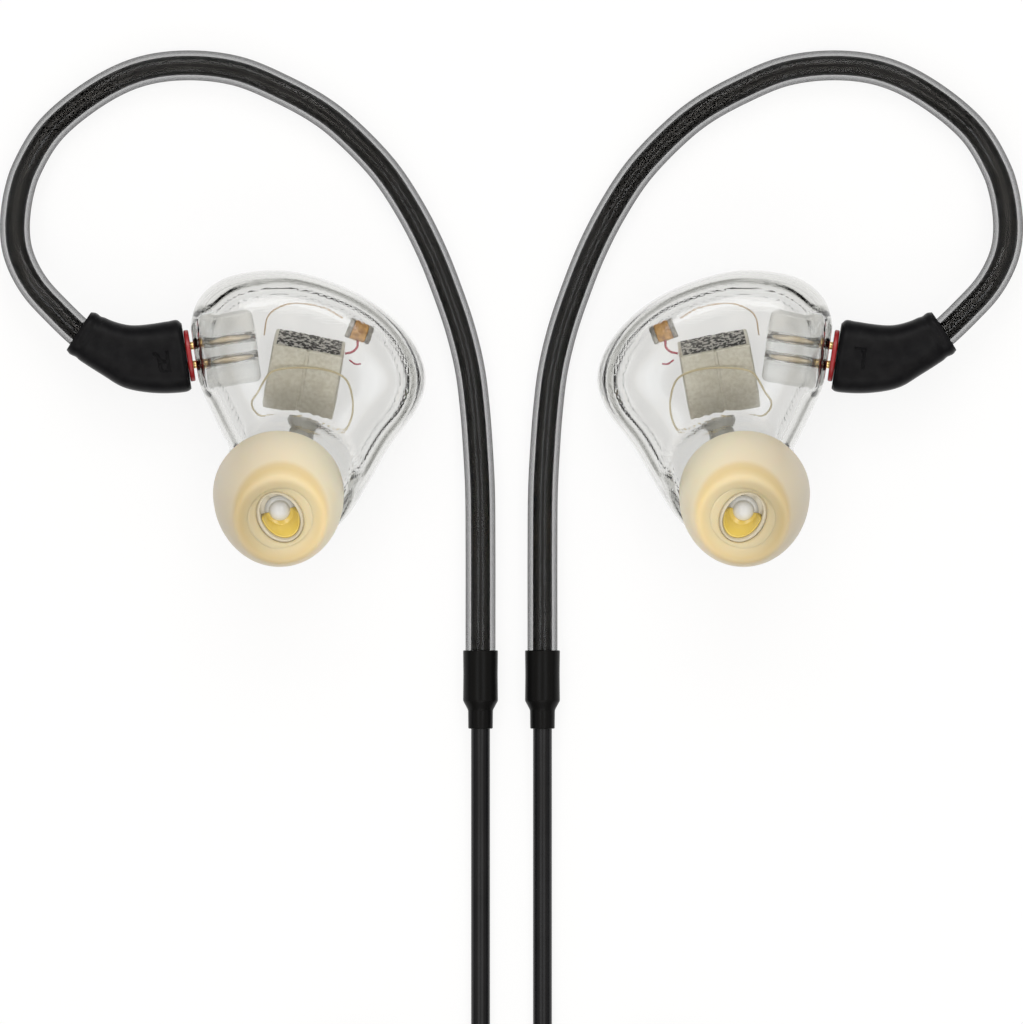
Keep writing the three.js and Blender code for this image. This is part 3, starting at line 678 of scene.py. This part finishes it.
def horn_piece(paint):
    width, mouth = HORN_WIDTH, NOZZLE_TIP + 0.3
    profile = [(0.02, HORN_FLOOR), (width - 0.3, HORN_FLOOR), (width, HORN_FLOOR + 0.3),
               (width, NOZZLE_TIP - 0.3), (width + 0.2, mouth), (0.02, mouth)]
    return nozzle_turned("horn", with_oval(profile, HORN_OVAL), paint, 48, False, NOZZLE_TURN)


def shell_piece(paint):
    """The clear shell, hollowed, with its horn, sound bore and pin holes."""
    body, cavity, horn = solid_shell(paint), cavity_piece(paint), horn_piece(paint)
    bore = rod_along("bore", sound_line((HORN_FLOOR + 0.6,)), 1.4, paint, 32)
    holes = [pin_rod("hole", PIN_RADIUS + 0.1, -1, SOCKET_START + 1, v, paint) for _, v in PINS]
    cut(body, cavity, horn, bore, *holes)
    return frost_nozzle(body)


def frost_nozzle(body):
    """Gives the spout's end its own, softer finish."""
    body.data.materials.append(frosted_acrylic())
    base, axis = np.array(NOZZLE_BASE), np.array(NOZZLE_AXIS)
    for face in body.data.polygons:
        away = np.array(face.center) / MM - base
        station = float(away @ axis)
        reach = float(norm(away - station * axis))
        if station > HORN_FLOOR - 0.8 and reach < TIP_SKIRT:
            face.material_index = 1
    return body


def faceplate_piece(paint):
    return loft("faceplate", shell_rings(PLATE_PROFILE, 0.25), paint)


def socket_piece(paint):
    block = box_piece("socket", (SOCKET_LENGTH, SOCKET_WIDTH, SOCKET_HEIGHT), paint, 0.7, SOCKET_PLACE)
    start, end = SOCKET_START - 1, SOCKET_START + SOCKET_LENGTH + 1
    return cut(block, *[pin_rod("bore", 0.52, start, end, v, paint) for _, v in PINS])


def contact_piece(paint, name, v):
    start, end = SOCKET_START + 0.3, SOCKET_START + SOCKET_LENGTH - 0.4
    profile = rounded([(0.41, start), (0.5, start), (0.5, end), (0.41, end)], 0.04)
    return pin_turned(f"socket_contact_{name}", profile, paint, v)


DRIVER_SIZE = (3.5, 7.0, 4.2)
DRIVER_TILT = radians(25)
DRIVER_PLACE = placed(-20.7, 1.5, 6.1, -10.6) @ Matrix.Rotation(DRIVER_TILT, 4, "X")


def driver_piece(paint, name, side):
    place = DRIVER_PLACE @ placed(side * (DRIVER_SIZE[0] + 0.1) / 2, 0, 0)
    body = box_piece(name, DRIVER_SIZE, paint, 0.22, place)
    start = place @ Vector((0, -DRIVER_SIZE[1] / 2 + 0.5, -0.4))
    axis = place.to_3x3() @ Vector((0, -1, 0))
    profile = [(0.01, 0), (0.7, 0), (0.7, 1.2), (0.6, 1.3), (0.01, 1.3)]
    return join(body, turned("spout", profile, paint, start, axis, 32, False))


def driver_bond_piece(paint):
    """The adhesive in the seam between the two drivers."""
    size = (0.24, DRIVER_SIZE[1] - 0.3, DRIVER_SIZE[2] - 0.12)
    return box_piece("driver_bond", size, paint, 0.03, DRIVER_PLACE)


def driver_end_piece(paint):
    place = DRIVER_PLACE @ placed(0, DRIVER_SIZE[1] / 2 + 0.03, 0)
    return box_piece("driver_solder", (6.4, 0.14, 3.5), paint, 0.06, place)


CAPACITOR_PLACE = placed(-15.15, 5.74, 6.4, -20)


def capacitor_piece(paint):
    return box_piece("capacitor", (1.5, 1.86, 1.26), paint, 0.12, CAPACITOR_PLACE)


def capacitor_end_piece(paint, name, side):
    place = CAPACITOR_PLACE @ placed(side, 0, 0)
    return box_piece(f"capacitor_end_{name}", (0.5, 1.9, 1.3), paint, 0.12, place)


def wire_piece(paint, name, route, radius):
    return rod_along(name, smooth_line(route, 0.2), radius, paint, 10)


SIGNAL_ROUTE = [(-24.7, 5.4, 7.0), (-24.2, 7.4, 7.4), (-22.2, 8.4, 7.4), (-18.8, 8.0, 7.2),
                (-16.9, 7.0, 6.8)]
CAPACITOR_WIRE = [(-15.35, 4.85, 6.9), (-15.4, 4.2, 7.1), (-15.85, 3.75, 7.2), (-16.6, 3.55, 7.2)]
DRIVER_WIRE = [(-16.2, 2.9, 6.8), (-15.6, 2.5, 6.9), (-15.0, 2.55, 6.9)]
BEAD_OUTLINE = [
    (-24.7, 0.7), (-23.9, 1.7), (-21.5, 2.1), (-18.2, 1.8), (-16.6, 1.0), (-15.9, -0.9), (-15.9, -2.6),
    (-16.6, -4.1), (-17.8, -4.5), (-19.1, -4.1), (-21.6, -3.3), (-24.9, -2.8), (-25.7, -2.1),
    (-25.9, -1.3), (-25.2, -0.2),
]
BEAD_RADIUS = 0.1


def bead_piece(paint):
    """A bead of clear adhesive laid over the drivers' tilted top and round their lower half."""
    tilt = tan(DRIVER_TILT)
    line = smooth_line([(x, y, 8.95 + (y - 2.0) * tilt) for x, y in BEAD_OUTLINE], 0.25, closed=True)
    tangents = np.roll(line, -1, axis=0) - np.roll(line, 1, axis=0)
    tangents /= norm(tangents, axis=1)[:, None]
    out = np.cross(tangents, (0, 0, 1.0))
    out /= norm(out, axis=1)[:, None]
    frames = zip(line, out, np.cross(tangents, out), strict=True)
    rings = [round_ring(p, BEAD_RADIUS, o, up, 12) for p, o, up in frames]
    return loft("adhesive_bead", rings, paint, loop=True)


def sound_tube_piece(paint):
    return tube_along("sound_tube", sound_line(), 1.3, 1.05, paint, 32)


def damper_piece(paint):
    """The damper, with a collar that covers the tube's end and a domed front."""
    end = HORN_FLOOR
    collar = [(1.0, end + 0.01), (1.5, end + 0.01), (1.5, end + 0.08), (1.15, end + 0.14)]
    dome = [(1.06 * cos(a), end + 0.18 + 0.7 * sin(a)) for a in np.linspace(0, 1.5, 9)]
    profile = [(0.01, end - 1.6), (0.95, end - 1.6), *collar, *dome, (0.01, end + 0.88)]
    return nozzle_turned("damper", profile, paint, 40, False)


def horn_floor_piece(paint):
    """The amber adhesive on the lower side of the nozzle's horn, round half of the damper."""
    end, wall = HORN_FLOOR, HORN_WIDTH - 0.03
    section = [(0.95, end + 0.02, 1.0), (wall, end + 0.02, HORN_OVAL), (wall, end + 1.7, HORN_OVAL),
               (wall - 0.12, end + 1.7, HORN_OVAL), (1.35, end + 0.35, 1.1), (0.95, end + 0.2, 1.0)]
    ring = nozzle_turned("horn_floor", rounded(section, 0.06), paint, 64, True, NOZZLE_TURN)
    place = axis_matrix(NOZZLE_BASE, NOZZLE_AXIS) @ placed(0, 0, 0, 12) @ placed(0, 2, end)
    return cut(ring, box_piece("upper", (8, 4, 6), paint, 0.3, place))


# The bell's section, from its mouth over the front and down the skirt, and back up inside.
TIP_OUTSIDE = [
    (3.05, TIP_FRONT - 1.0), (3.05, TIP_FRONT - 0.8), (3.25, TIP_FRONT - 0.6), (3.6, TIP_FRONT - 0.42),
    (4.1, TIP_FRONT - 0.2), (4.55, TIP_FRONT - 0.2), (4.98, TIP_FRONT - 0.65), (5.35, 6.1), (5.75, 5.0),
    (6.15, 3.4), (6.42, 1.6), (TIP_SKIRT, 0.1), (TIP_SKIRT - 0.02, TIP_BASE + 0.3), (6.25, TIP_BASE),
]
TIP_INSIDE = [(5.98, TIP_BASE + 0.2), (5.8, 1.0), (5.1, 4.0), (4.3, 5.7), (3.7, 6.3)]


def ear_tip_piece(paint):
    return nozzle_turned("ear_tip", smooth_line(TIP_OUTSIDE + TIP_INSIDE, 0.22, closed=True), paint, 96)


def stem_piece(paint):
    """The stem's bore is stretched oval by the nozzle, and its front spreads out to meet the bell."""
    bore, low, tip = 2.4, TIP_BASE + 0.6, NOZZLE_TIP
    inside = with_oval([(bore + 0.15, low), (bore, 2.0), (bore, tip - 1.4), (bore - 0.12, tip - 0.6),
                        (bore - 0.14, tip - 0.12)], NOZZLE_OVAL)
    front = [(bore + 0.1, tip + 0.02, 1.22), (3.0, tip + 0.1, 1.08), (3.25, tip + 0.18, 1.0),
             (3.28, tip + 0.1, 1.0), (3.28, tip - 0.7, 1.0)]
    outside = [(3.5, tip - 1.6, 1.0), (STEM_OUTER, low + 1.0, 1.0), (STEM_OUTER, low, 1.0)]
    return nozzle_turned("ear_tip_stem", inside + front + outside, paint, 96, True, NOZZLE_TURN)


# ---- connector, boot and hook


MARKER_HALF = (1.75, 2.6)


def marker_piece(paint):
    """The coloured plate between the boot and the shell, stretched oval across the pins."""
    start = BOOT_FACE + 0.05
    edge = MARKER_HALF[0]
    profile = rounded([(0.01, start), (edge, start), (edge, start + 0.5), (0.01, start + 0.5)], 0.14)
    plate = pin_turned("side_marker", profile, paint, 0.0, 64)
    stretch = pin_matrix() @ Matrix.Diagonal((1, MARKER_HALF[1] / edge, 1, 1)) @ pin_matrix().inverted()
    scale = Matrix.Scale(MM, 4)
    plate.data.transform(scale @ stretch @ scale.inverted())
    return plate


BOOT_SIDES = 56
BOOT_SQUARENESS = 0.72


def boot_ring(x, y, half_width, half_height, heading):
    across, up = squarish(BOOT_SIDES, BOOT_SQUARENESS)
    across, angle = half_width * across, radians(heading)
    return np.column_stack([x - sin(angle) * across, y + cos(angle) * across,
                            BOOT_CENTRE_Z + half_height * up])


LETTER_HEIGHT = 3.1
LETTER_REACH = 0.22


def letter(text, x, y, heading, paint):
    """A stroke letter standing through the boot's top face, ready to cut it."""
    curve = bpy.data.curves.new("letter", "FONT")
    curve.body = text
    curve.size = LETTER_HEIGHT * MM
    curve.align_x = curve.align_y = "CENTER"
    curve.extrude = LETTER_REACH * MM
    curve.offset = -0.012 * MM
    piece = new_object("letter", curve)
    mesh = bpy.data.meshes.new_from_object(piece.evaluated_get(bpy.context.evaluated_depsgraph_get()))
    bpy.data.objects.remove(piece)
    mesh.transform(placed(*(Vector((x, y, BOOT_CENTRE_Z + 2.66)) * MM), heading))
    mesh.materials.clear()
    mesh.materials.append(paint)
    return apply_modifier(new_object("letter", mesh), "REMESH", mode="VOXEL", voxel_size=0.035 * MM)


def bump_at(reach, middle, height):
    return height * exp(-(((reach - middle) / 0.3) ** 2))


def boot_blank(paint):
    """The angled boot with a rolled lip at its hook end, bored for the hook."""
    line = smooth_line([(x, y, w, h, a / 10) for x, y, w, h, a in BOOT_STATIONS], 0.12)
    rings = []
    for x, y, w, h, a in line:
        reach = hypot(x - BOOT_STATIONS[0][0], y - BOOT_STATIONS[0][1])
        lip = bump_at(reach, 0.4, 0.07) - bump_at(reach, 1.1, 0.08)
        rings.append(boot_ring(x, y, w + lip, h + lip, a * 10))
    tight = boot_ring(*BOOT_STATIONS[0][:2], 2.0, 1.9, BOOT_STATIONS[0][4])
    body = loft("plug_boot", [tight, *rings], paint)
    hole = rod_along("hole", smooth_line(HOOK_ROUTE[:3], 0.3), 1.62, paint, 40)
    return cut(body, hole)


def boots(paint):
    """Both boots, each with its own side's letter cut in, upside down to the hook."""
    right = boot_blank(paint)
    left = mirrored(right, "left_plug_boot")
    right.name = "right_plug_boot"
    cut(right, letter("R", -34.8, 2.8, 180 + PIN_ANGLE, paint))
    cut(left, letter("L", 34.8, 3.2, 180 - PIN_ANGLE, paint))
    for side, piece in (("right", right), ("left", left)):
        piece.data.shade_smooth()
        settle(piece, "cable", "boot_rubber", [f"{side}_plug_boot"])


def hook_tube_piece(paint):
    """It stays clear of its skin, so that the two don't cross in the bends."""
    return tube_along("hook_tube", smooth_line(HOOK_ROUTE, HOOK_STEP), HOOK_BODY, HOOK_BORE, paint, 64)


# The absorbing skin whose painted shade draws the hook tube's dark edge.
def hook_skin_piece(paint):
    line = smooth_line(HOOK_ROUTE, HOOK_STEP)
    return tube_along("hook_tube_skin", line, HOOK_OUTER, HOOK_OUTER - HOOK_SKIN, paint, 64)


def hook_cable_piece(paint):
    route = [*HOOK_ROUTE[:-1], (BRANCH_X, -31.15, 1.75)]
    return rod_along("hook_cable", smooth_line(route, HOOK_STEP)[1:], HOOK_CORE, paint, 48)


def sleeve_piece(paint):
    """Shrink sleeve: wide over the hook tube, with a shoulder down to the cord."""
    top, shoulder, end = -SLEEVE_TOP, -SLEEVE_SHOULDER, -SLEEVE_END
    inner, bore, wide = BRANCH_RADIUS + 0.02, HOOK_OUTER + 0.02, SLEEVE_WIDE
    profile = [(inner, end), (SLEEVE_NARROW, end), (SLEEVE_NARROW + 0.02, shoulder + 0.75),
               (1.45, shoulder + 0.35), (wide, shoulder - 0.2), (wide - 0.03, top + 2.4), (wide, top),
               (bore, top), (bore, shoulder - 0.1), (inner, shoulder)]
    return turned("hook_sleeve", rounded(profile, 0.12), paint, (BRANCH_X, 0, wide), (0, -1, 0), 64)


# ---- cords


def coil_line(coil, radius, line_x):
    """Two layers of turns, entered at the outside heading -Y and left at the outside of the upper layer."""
    outer = coil["mean"] + coil["turns"] * radius
    turns = 2 * coil["turns"]
    steps = round(POINTS_PER_TURN * turns)
    points = []
    for k in range(steps + 1):
        t = turns * k / steps
        r = outer - 2 * radius * min(t, turns - t)
        angle = -2 * pi * t
        rise = min(max((t - coil["turns"]) / 0.16 + 0.5, 0.0), 1.0)
        z = COIL_BASE + radius + 2 * radius * rise * rise * (3 - 2 * rise)
        points.append((line_x - outer + r * cos(angle), coil["y"] + r * sin(angle), z))
    return points


def cord_piece(name, line, radius, paint):
    """A cord as one open spline with its real radius."""
    curve = bpy.data.curves.new(name, "CURVE")
    curve.dimensions = "3D"
    curve.bevel_depth = radius * MM
    curve.bevel_resolution = 6
    curve.use_fill_caps = True
    spline = curve.splines.new("POLY")
    spline.points.add(len(line) - 1)
    for point, p in zip(spline.points, line, strict=True):
        point.co = (*(np.array(p) * MM), 1.0)
    spline.use_smooth = True
    curve.materials.append(paint)
    return new_object(name, curve)


def route_length(line):
    return float(norm(np.diff(line, axis=0), axis=1).sum()) * MM


def branch_line(sign):
    coil = coil_line(BRANCH_COIL, BRANCH_RADIUS, BRANCH_X)
    return smooth_line([*BRANCH_ROUTE, *coil, *BRANCH_TAIL_ROUTE], 0.8) * np.array([sign, 1, 1])


def main_line():
    return smooth_line([*MAIN_ROUTE, *coil_line(MAIN_COIL, MAIN_RADIUS, 0.0), *MAIN_TAIL_ROUTE], 1.0)


TIE_HALF_WIDTH = 2.5


def tie_piece(name, coil, radius, line_x, direction, paint):
    """The strap round a coil's turns, on the side in a direction from its middle, with rounded corners."""
    outer = coil["mean"] + coil["turns"] * radius
    inner_edge = coil["mean"] - coil["turns"] * radius - radius - 0.1
    near = sqrt(inner_edge**2 - TIE_HALF_WIDTH**2) - 0.1
    far = outer + radius + 0.2
    low, high = COIL_BASE - 0.1, COIL_BASE + 4 * radius + 0.2
    place = placed(line_x - outer, coil["y"], 0, direction) @ placed((near + far) / 2, 0, (low + high) / 2)
    thick = 2 * TIE_THICK
    size = (far - near + thick, 2 * TIE_HALF_WIDTH, high - low + thick)
    strap = box_piece(name, size, paint, 0.4, place)
    room = box_piece("room", (far - near, 3 * TIE_HALF_WIDTH, high - low), paint, 0.2, place)
    return cut(strap, room)


FLAT_SIDES = 48
FLAT_SQUARENESS = 0.8


def flat_rings(stations, z):
    """Flattened sections across Y: each station is y, half width, half height."""
    across, up = squarish(FLAT_SIDES, FLAT_SQUARENESS)
    return [np.column_stack([half_width * across, np.full(FLAT_SIDES, y), z + half_height * up])
            for y, half_width, half_height in stations]


def y_hole(x, z, radius, start, end, paint):
    return rod_along("hole", [(x, y, z) for y in (start, (start + end) / 2, end)], radius, paint, 32)


def pair_holes(radius, start, end, paint):
    """The two holes that the pair of branches runs through."""
    return [y_hole(sign * PAIR_X, PAIR_Z, radius, start, end, paint) for _, sign in SIDES]


def slider_piece(paint):
    low, high = SLIDER_Y - SLIDER_LENGTH / 2, SLIDER_Y + SLIDER_LENGTH / 2
    w, h = SLIDER_HALF
    stations = [(low, w - 0.35, h - 0.35), (low + 0.12, w - 0.1, h - 0.1), (low + 0.4, w, h),
                (high - 0.4, w, h), (high - 0.12, w - 0.1, h - 0.1), (high, w - 0.35, h - 0.35)]
    body = loft("cord_slider_piece", flat_rings(stations, h), paint)
    return cut(body, *pair_holes(1.03, low - 1, high + 1, paint))


def splitter_piece(paint):
    stations = [(SPLITTER_BOTTOM, 1.7, 1.7), (-120.8, 1.9, 1.9), (-119.5, 2.3, 2.1), (-117, 2.8, 2.1),
                (-115, 3.1, 2.1), (-111.5, 3.2, 2.1), (-110.3, 3.1, 2.05), (SPLITTER_TOP, 2.8, 1.8)]
    body = loft("splitter_piece", flat_rings(smooth_line(stations, 0.3), SPLITTER_Z), paint)
    holes = pair_holes(1.0, SPLITTER_TOP - 2.5, SPLITTER_TOP + 1, paint)
    main = y_hole(0, SPLITTER_Z, 1.25, SPLITTER_BOTTOM - 1, SPLITTER_BOTTOM + 2.5, paint)
    return cut(body, *holes, main)


# ---- plug


RELIEF_RIBS = 5
RELIEF_PITCH = 1.4
GRIP_GROOVES = 7
GRIP_PITCH = 0.8
BARREL_RADIUS = 3.75


def plug_turned(name, profile, paint, segments=64, loop=True):
    return turned(name, profile, paint, (MAIN_OUT_X, 0, PLUG_Z), (0, 1, 0), segments, loop)


def relief_piece(paint):
    """A ribbed sleeve that tapers along the cord."""
    depth, end = RELIEF_START + 2.3, BARREL_START - 0.3
    profile = [(MAIN_RADIUS + 0.05, depth), (MAIN_RADIUS + 0.05, RELIEF_START)]
    for k in range(RELIEF_RIBS):
        y, r = RELIEF_START + 0.05 + RELIEF_PITCH * k, 1.75 + 0.13 * k
        rib = [(0, 0), (0.12, 0.2), (0.12, 0.8), (-0.1, 1.0), (-0.1, 1.3)]
        profile += [(r + out, y + along) for out, along in rib]
    profile += [(2.5, end - 0.4), (2.5, end), (0.01, end), (0.01, depth)]
    return plug_turned("plug_strain_relief_piece", profile, paint)


def barrel_piece(paint):
    """The plug's grip, with grooves round it and a recess that holds the contacts."""
    start, end = BARREL_START, BARREL_END
    profile = [(0.01, start), (3.0, start), (3.4, start + 0.25),
               (BARREL_RADIUS, start + 0.9)]
    for k in range(GRIP_GROOVES):
        y = start + 3.5 + GRIP_PITCH * k
        groove = [(0, 0), (0.13, 0.12), (0.13, 0.36), (0, 0.48)]
        profile += [(BARREL_RADIUS - deep, y + along) for deep, along in groove]
    profile += [(BARREL_RADIUS, end - 0.6), (3.6, end - 0.2), (3.4, end),
                (1.85, end), (1.85, end - 2), (0.01, end - 2)]
    return plug_turned("plug_barrel_piece", profile, paint, 72, False)


def contact_ring(name, start, end, paint):
    start, end = BARREL_END + start, BARREL_END + end
    profile = rounded([(0.8, start), (1.75, start), (1.75, end), (0.8, end)], 0.12)
    return plug_turned(name, profile, paint, 48)


def tip_contact(paint):
    start, end = BARREL_END + 11.4, BARREL_END + 14.0
    profile = [(0.01, start + 0.3), (1.4, start + 0.3), (1.55, start + 0.4), (1.75, start + 0.9),
               (1.6, start + 1.1), (1.22, end - 1.2), (1.2, end - 1.05), (1.3, end - 0.9),
               (0.9, end - 0.35), (0.35, end - 0.05), (0.01, end)]
    return plug_turned("plug_tip_contact_piece", profile, paint, 48, False)


def insulator_piece(paint):
    def flange(at):
        return [(0.7, at), (1.74, at), (1.74, at + 0.4), (0.7, at + 0.4)]

    profile = [(0.01, BARREL_END - 1.8), (0.7, BARREL_END - 1.8), *flange(BARREL_END + 8.25),
               *flange(BARREL_END + 11.05), (0.01, BARREL_END + 11.45)]
    return plug_turned("plug_insulator_piece", profile, paint, 32, False)


# ---- assembly


def make_earpieces():
    acrylic, plate, steel = clear_acrylic(), contact_plate(), driver_steel()
    crimson = enamel("crimson_enamel", (0.45, 0.02, 0.06))
    copper = enamel("copper_enamel", (0.62, 0.45, 0.28))
    solder = ceramic("capacitor_end", (0.20, 0.19, 0.17), (0.52, 0.50, 0.46))
    orange = ceramic("capacitor_body", (0.42, 0.18, 0.04), (0.78, 0.44, 0.12))
    amber = amber_resin()

    def inside(piece, slot, *nodes):
        both_sides(piece, "earpiece", slot, *nodes)

    inside(shell_piece(acrylic), "clear_acrylic", "shell")
    inside(faceplate_piece(acrylic), "clear_acrylic", "faceplate")
    inside(socket_piece(acrylic), "clear_acrylic", "socket_block")
    for name, v in PINS:
        inside(contact_piece(plate, name, v), "gold_plate", f"socket_contact_{name}")
    inside(driver_piece(steel, "woofer", -1), "driver_steel", "woofer_driver")
    inside(driver_piece(steel, "tweeter", 1), "driver_steel", "tweeter_driver")
    inside(driver_bond_piece(steel), "driver_steel")
    inside(driver_end_piece(driver_end()), "driver_steel")
    inside(capacitor_piece(orange), "capacitor_body", "capacitor")
    for name, side in (("near", -1), ("far", 1)):
        inside(capacitor_end_piece(solder, name, side), "capacitor_body")
    inside(wire_piece(copper, "signal_wire", SIGNAL_ROUTE, 0.07), "wire_enamel", "signal_wire")
    inside(wire_piece(crimson, "capacitor_wire", CAPACITOR_WIRE, 0.12), "wire_enamel")
    inside(wire_piece(crimson, "driver_wire", DRIVER_WIRE, 0.09), "wire_enamel")
    inside(sound_tube_piece(tube_vinyl()), "clear_vinyl", "sound_tube")
    inside(damper_piece(damper_mesh()), "damper_mesh", "damper")
    inside(horn_floor_piece(amber), "stem_silicone")
    inside(bead_piece(bead_resin()), "clear_acrylic")
    both_sides(ear_tip_piece(tip_silicone()), "tip", "tip_silicone", "ear_tip")
    both_sides(stem_piece(tip_silicone()), "tip", "stem_silicone", "ear_tip_stem")


def make_connectors():
    gold = gold_plate()
    both_sides(marker_piece(marker_red()), "cable", "marker_red", "side_marker")
    for name, v in PINS:
        pin = pin_rod(f"pin_{name}_rod", PIN_RADIUS, BOOT_FACE - 2.2, 2.8, v, gold)
        both_sides(pin, "cable", "gold_plate", f"pin_{name}")
    boots(boot_rubber())
    both_sides(hook_tube_piece(clear_vinyl()), "cable", "clear_vinyl", "hook_tube")
    both_sides(hook_skin_piece(edge_shade_skin()), "cable", "clear_vinyl")
    both_sides(hook_cable_piece(hook_jacket()), "cable", "cord_jacket", "hook_cable")
    both_sides(sleeve_piece(shrink_sleeve()), "cable", "shrink_sleeve", "hook_sleeve")


def make_branch(side, sign, jacket, strap):
    """One branch from its hook's sleeve to the splitter, coiled and tied."""
    line = branch_line(sign)
    nodes = [f"{side}_{n}" for n in ("branch_cord", "branch_coil", "branch_cord_tail")]
    cord = settle(cord_piece(f"{side}_branch", line, BRANCH_RADIUS, jacket), "cable", "cord_jacket", nodes)
    tie = tie_piece(f"{side}_tie", BRANCH_COIL, BRANCH_RADIUS, BRANCH_X, 180, strap)
    if sign < 0:
        mirror(tie)
    settle(tie, "cable", "strap", [f"{side}_branch_coil_tie"])
    route_length(line)


def make_plug(rubber, gold):
    parts = [
        (relief_piece(rubber), "boot_rubber", "plug_strain_relief"),
        (barrel_piece(plug_shell()), "plug_shell", "plug_barrel"),
        (contact_ring("plug_sleeve_piece", -1.6, 8.2, gold), "gold_plate", "plug_sleeve_contact"),
        (contact_ring("plug_ring_piece", 8.7, 11.0, gold), "gold_plate", "plug_ring_contact"),
        (tip_contact(gold), "gold_plate", "plug_tip_contact"),
        (insulator_piece(insulator()), "insulator", "plug_insulator"),
    ]
    return [settle(piece, "cable", slot, [name]) for piece, slot, name in parts]


def make_cords():
    jacket, rubber, gold, strap = cord_jacket(), boot_rubber(), gold_plate(), strap_weave()
    splitter = settle(splitter_piece(rubber), "cable", "boot_rubber", ["splitter"])
    slider = settle(slider_piece(rubber), "slider", "boot_rubber", ["cord_slider"])
    for side, sign in SIDES:
        make_branch(side, sign, jacket, strap)
    line = main_line()
    nodes = ["main_cord", "main_coil", "main_cord_tail"]
    main = settle(cord_piece("main_lead", line, MAIN_RADIUS, jacket), "cable", "cord_jacket", nodes)
    tie = tie_piece("main_tie", MAIN_COIL, MAIN_RADIUS, 0.0, -90, strap)
    settle(tie, "cable", "strap", ["main_coil_tie"])
    plug = make_plug(rubber, gold)
    route_length(line)


# ---- camera, light and floor


def make_camera():
    camera = bpy.data.cameras.new("camera")
    camera.sensor_width = SENSOR
    camera.lens = SENSOR * (CAMERA_HEIGHT - FOCUS_HEIGHT) / VIEW_WIDTH
    camera.clip_end = 10.0
    holder = new_object("camera", camera)
    holder.location = Vector((*VIEW_MIDDLE, CAMERA_HEIGHT)) * MM
    bpy.context.scene.camera = holder


FLOOR_HALF = 1500.0
FLOOR_DROP = 0.15


def make_floor():
    """A pale light table, brightest in the middle, so that the clear pieces are lit from below as well."""
    paint = material("floor_white", 0.14, 0.9, Specular_IOR_Level=0.0, Emission_Strength=0.85)
    place = node(paint, "TexCoord", output="Object")
    reach = node(paint, "VectorMath", place, operation="LENGTH", output="Value")
    shade(paint, "Emission Color", ramp(paint, reach, [(0.09, 1.0), (0.3, (0.55, 0.55, 0.56))]))
    size = FLOOR_HALF * MM
    corners = [(x * size, y * size, 0) for x, y in ((-1, -1), (1, -1), (1, 1), (-1, 1))]
    mesh = bpy.data.meshes.new("floor")
    mesh.from_pydata(corners, [], [(0, 1, 2, 3)])
    mesh.materials.append(paint)
    floor = new_object("floor", mesh)
    floor.location.z = -FLOOR_DROP * MM


# The studio's brightness by the height of a direction: dark at the horizon and straight up, where a camera
# hangs, and brightest in a ring round that.
WORLD_STOPS = [(0.0, 0.02), (0.12, 0.04), (0.26, 0.3), (0.45, 0.8), (0.76, 0.85), (0.86, 1.9), (0.95, 2.7),
               (0.98, 1.2), (1.0, 0.5)]
# Panels and flags round the studio vary that, from dark and warm to bright and cool.
PANEL_STOPS = [(0.36, (0.30, 0.28, 0.25)), (0.47, (0.85, 0.79, 0.70)), (0.55, 1.0),
               (0.66, (1.25, 1.3, 1.35))]
PANEL_SCALE = 2.6
PANEL_SHARE = 0.85


def make_world():
    """A studio tent whose low parts are darker, which draws the clear pieces' edges."""
    world = bpy.data.worlds.new("studio")
    world.use_nodes = True
    direction = node(world, "TexCoord", output="Generated")
    either_side = node(world, "VectorMath", direction, operation="ABSOLUTE")
    noise = node(world, "TexNoise", Vector=either_side, Scale=PANEL_SCALE, Detail=1.0)
    height = node(world, "SeparateXYZ", direction, output="Z")
    blend = world.node_tree.nodes.new("ShaderNodeMix")
    blend.data_type = "RGBA"
    blend.blend_type = "MULTIPLY"
    feed(world, blend.inputs["Factor"], PANEL_SHARE)
    feed(world, blend.inputs["A"], ramp(world, height, WORLD_STOPS))
    feed(world, blend.inputs["B"], ramp(world, noise, PANEL_STOPS))
    feed(world, world.node_tree.nodes["Background"].inputs["Color"], blend.outputs["Result"])
    bpy.context.scene.world = world


def softbox(name, place, size, watts):
    light = bpy.data.lights.new(name, "AREA")
    light.shape = "RECTANGLE"
    light.size, light.size_y = size[0] * MM, size[1] * MM
    light.energy = watts
    holder = new_object(name, light)
    holder.location = Vector(place) * MM
    holder.rotation_euler = (-Vector(place)).to_track_quat("-Z", "Y").to_euler()


def make_lights():
    softbox("key", (0, 620, 700), (700, 300), 2.0)
    softbox("fill", (0, -500, 500), (600, 120), 0.6)


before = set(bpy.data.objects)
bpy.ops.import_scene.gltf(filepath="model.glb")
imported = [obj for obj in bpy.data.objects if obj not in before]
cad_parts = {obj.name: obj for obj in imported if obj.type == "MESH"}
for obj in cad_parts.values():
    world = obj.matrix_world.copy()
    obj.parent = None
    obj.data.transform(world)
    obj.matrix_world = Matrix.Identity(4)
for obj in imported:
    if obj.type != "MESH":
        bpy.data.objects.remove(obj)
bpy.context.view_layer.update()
make_camera()
make_cords()
make_connectors()
make_earpieces()
make_floor()
make_world()
make_lights()
bpy.context.scene.view_settings.view_transform = "Standard"
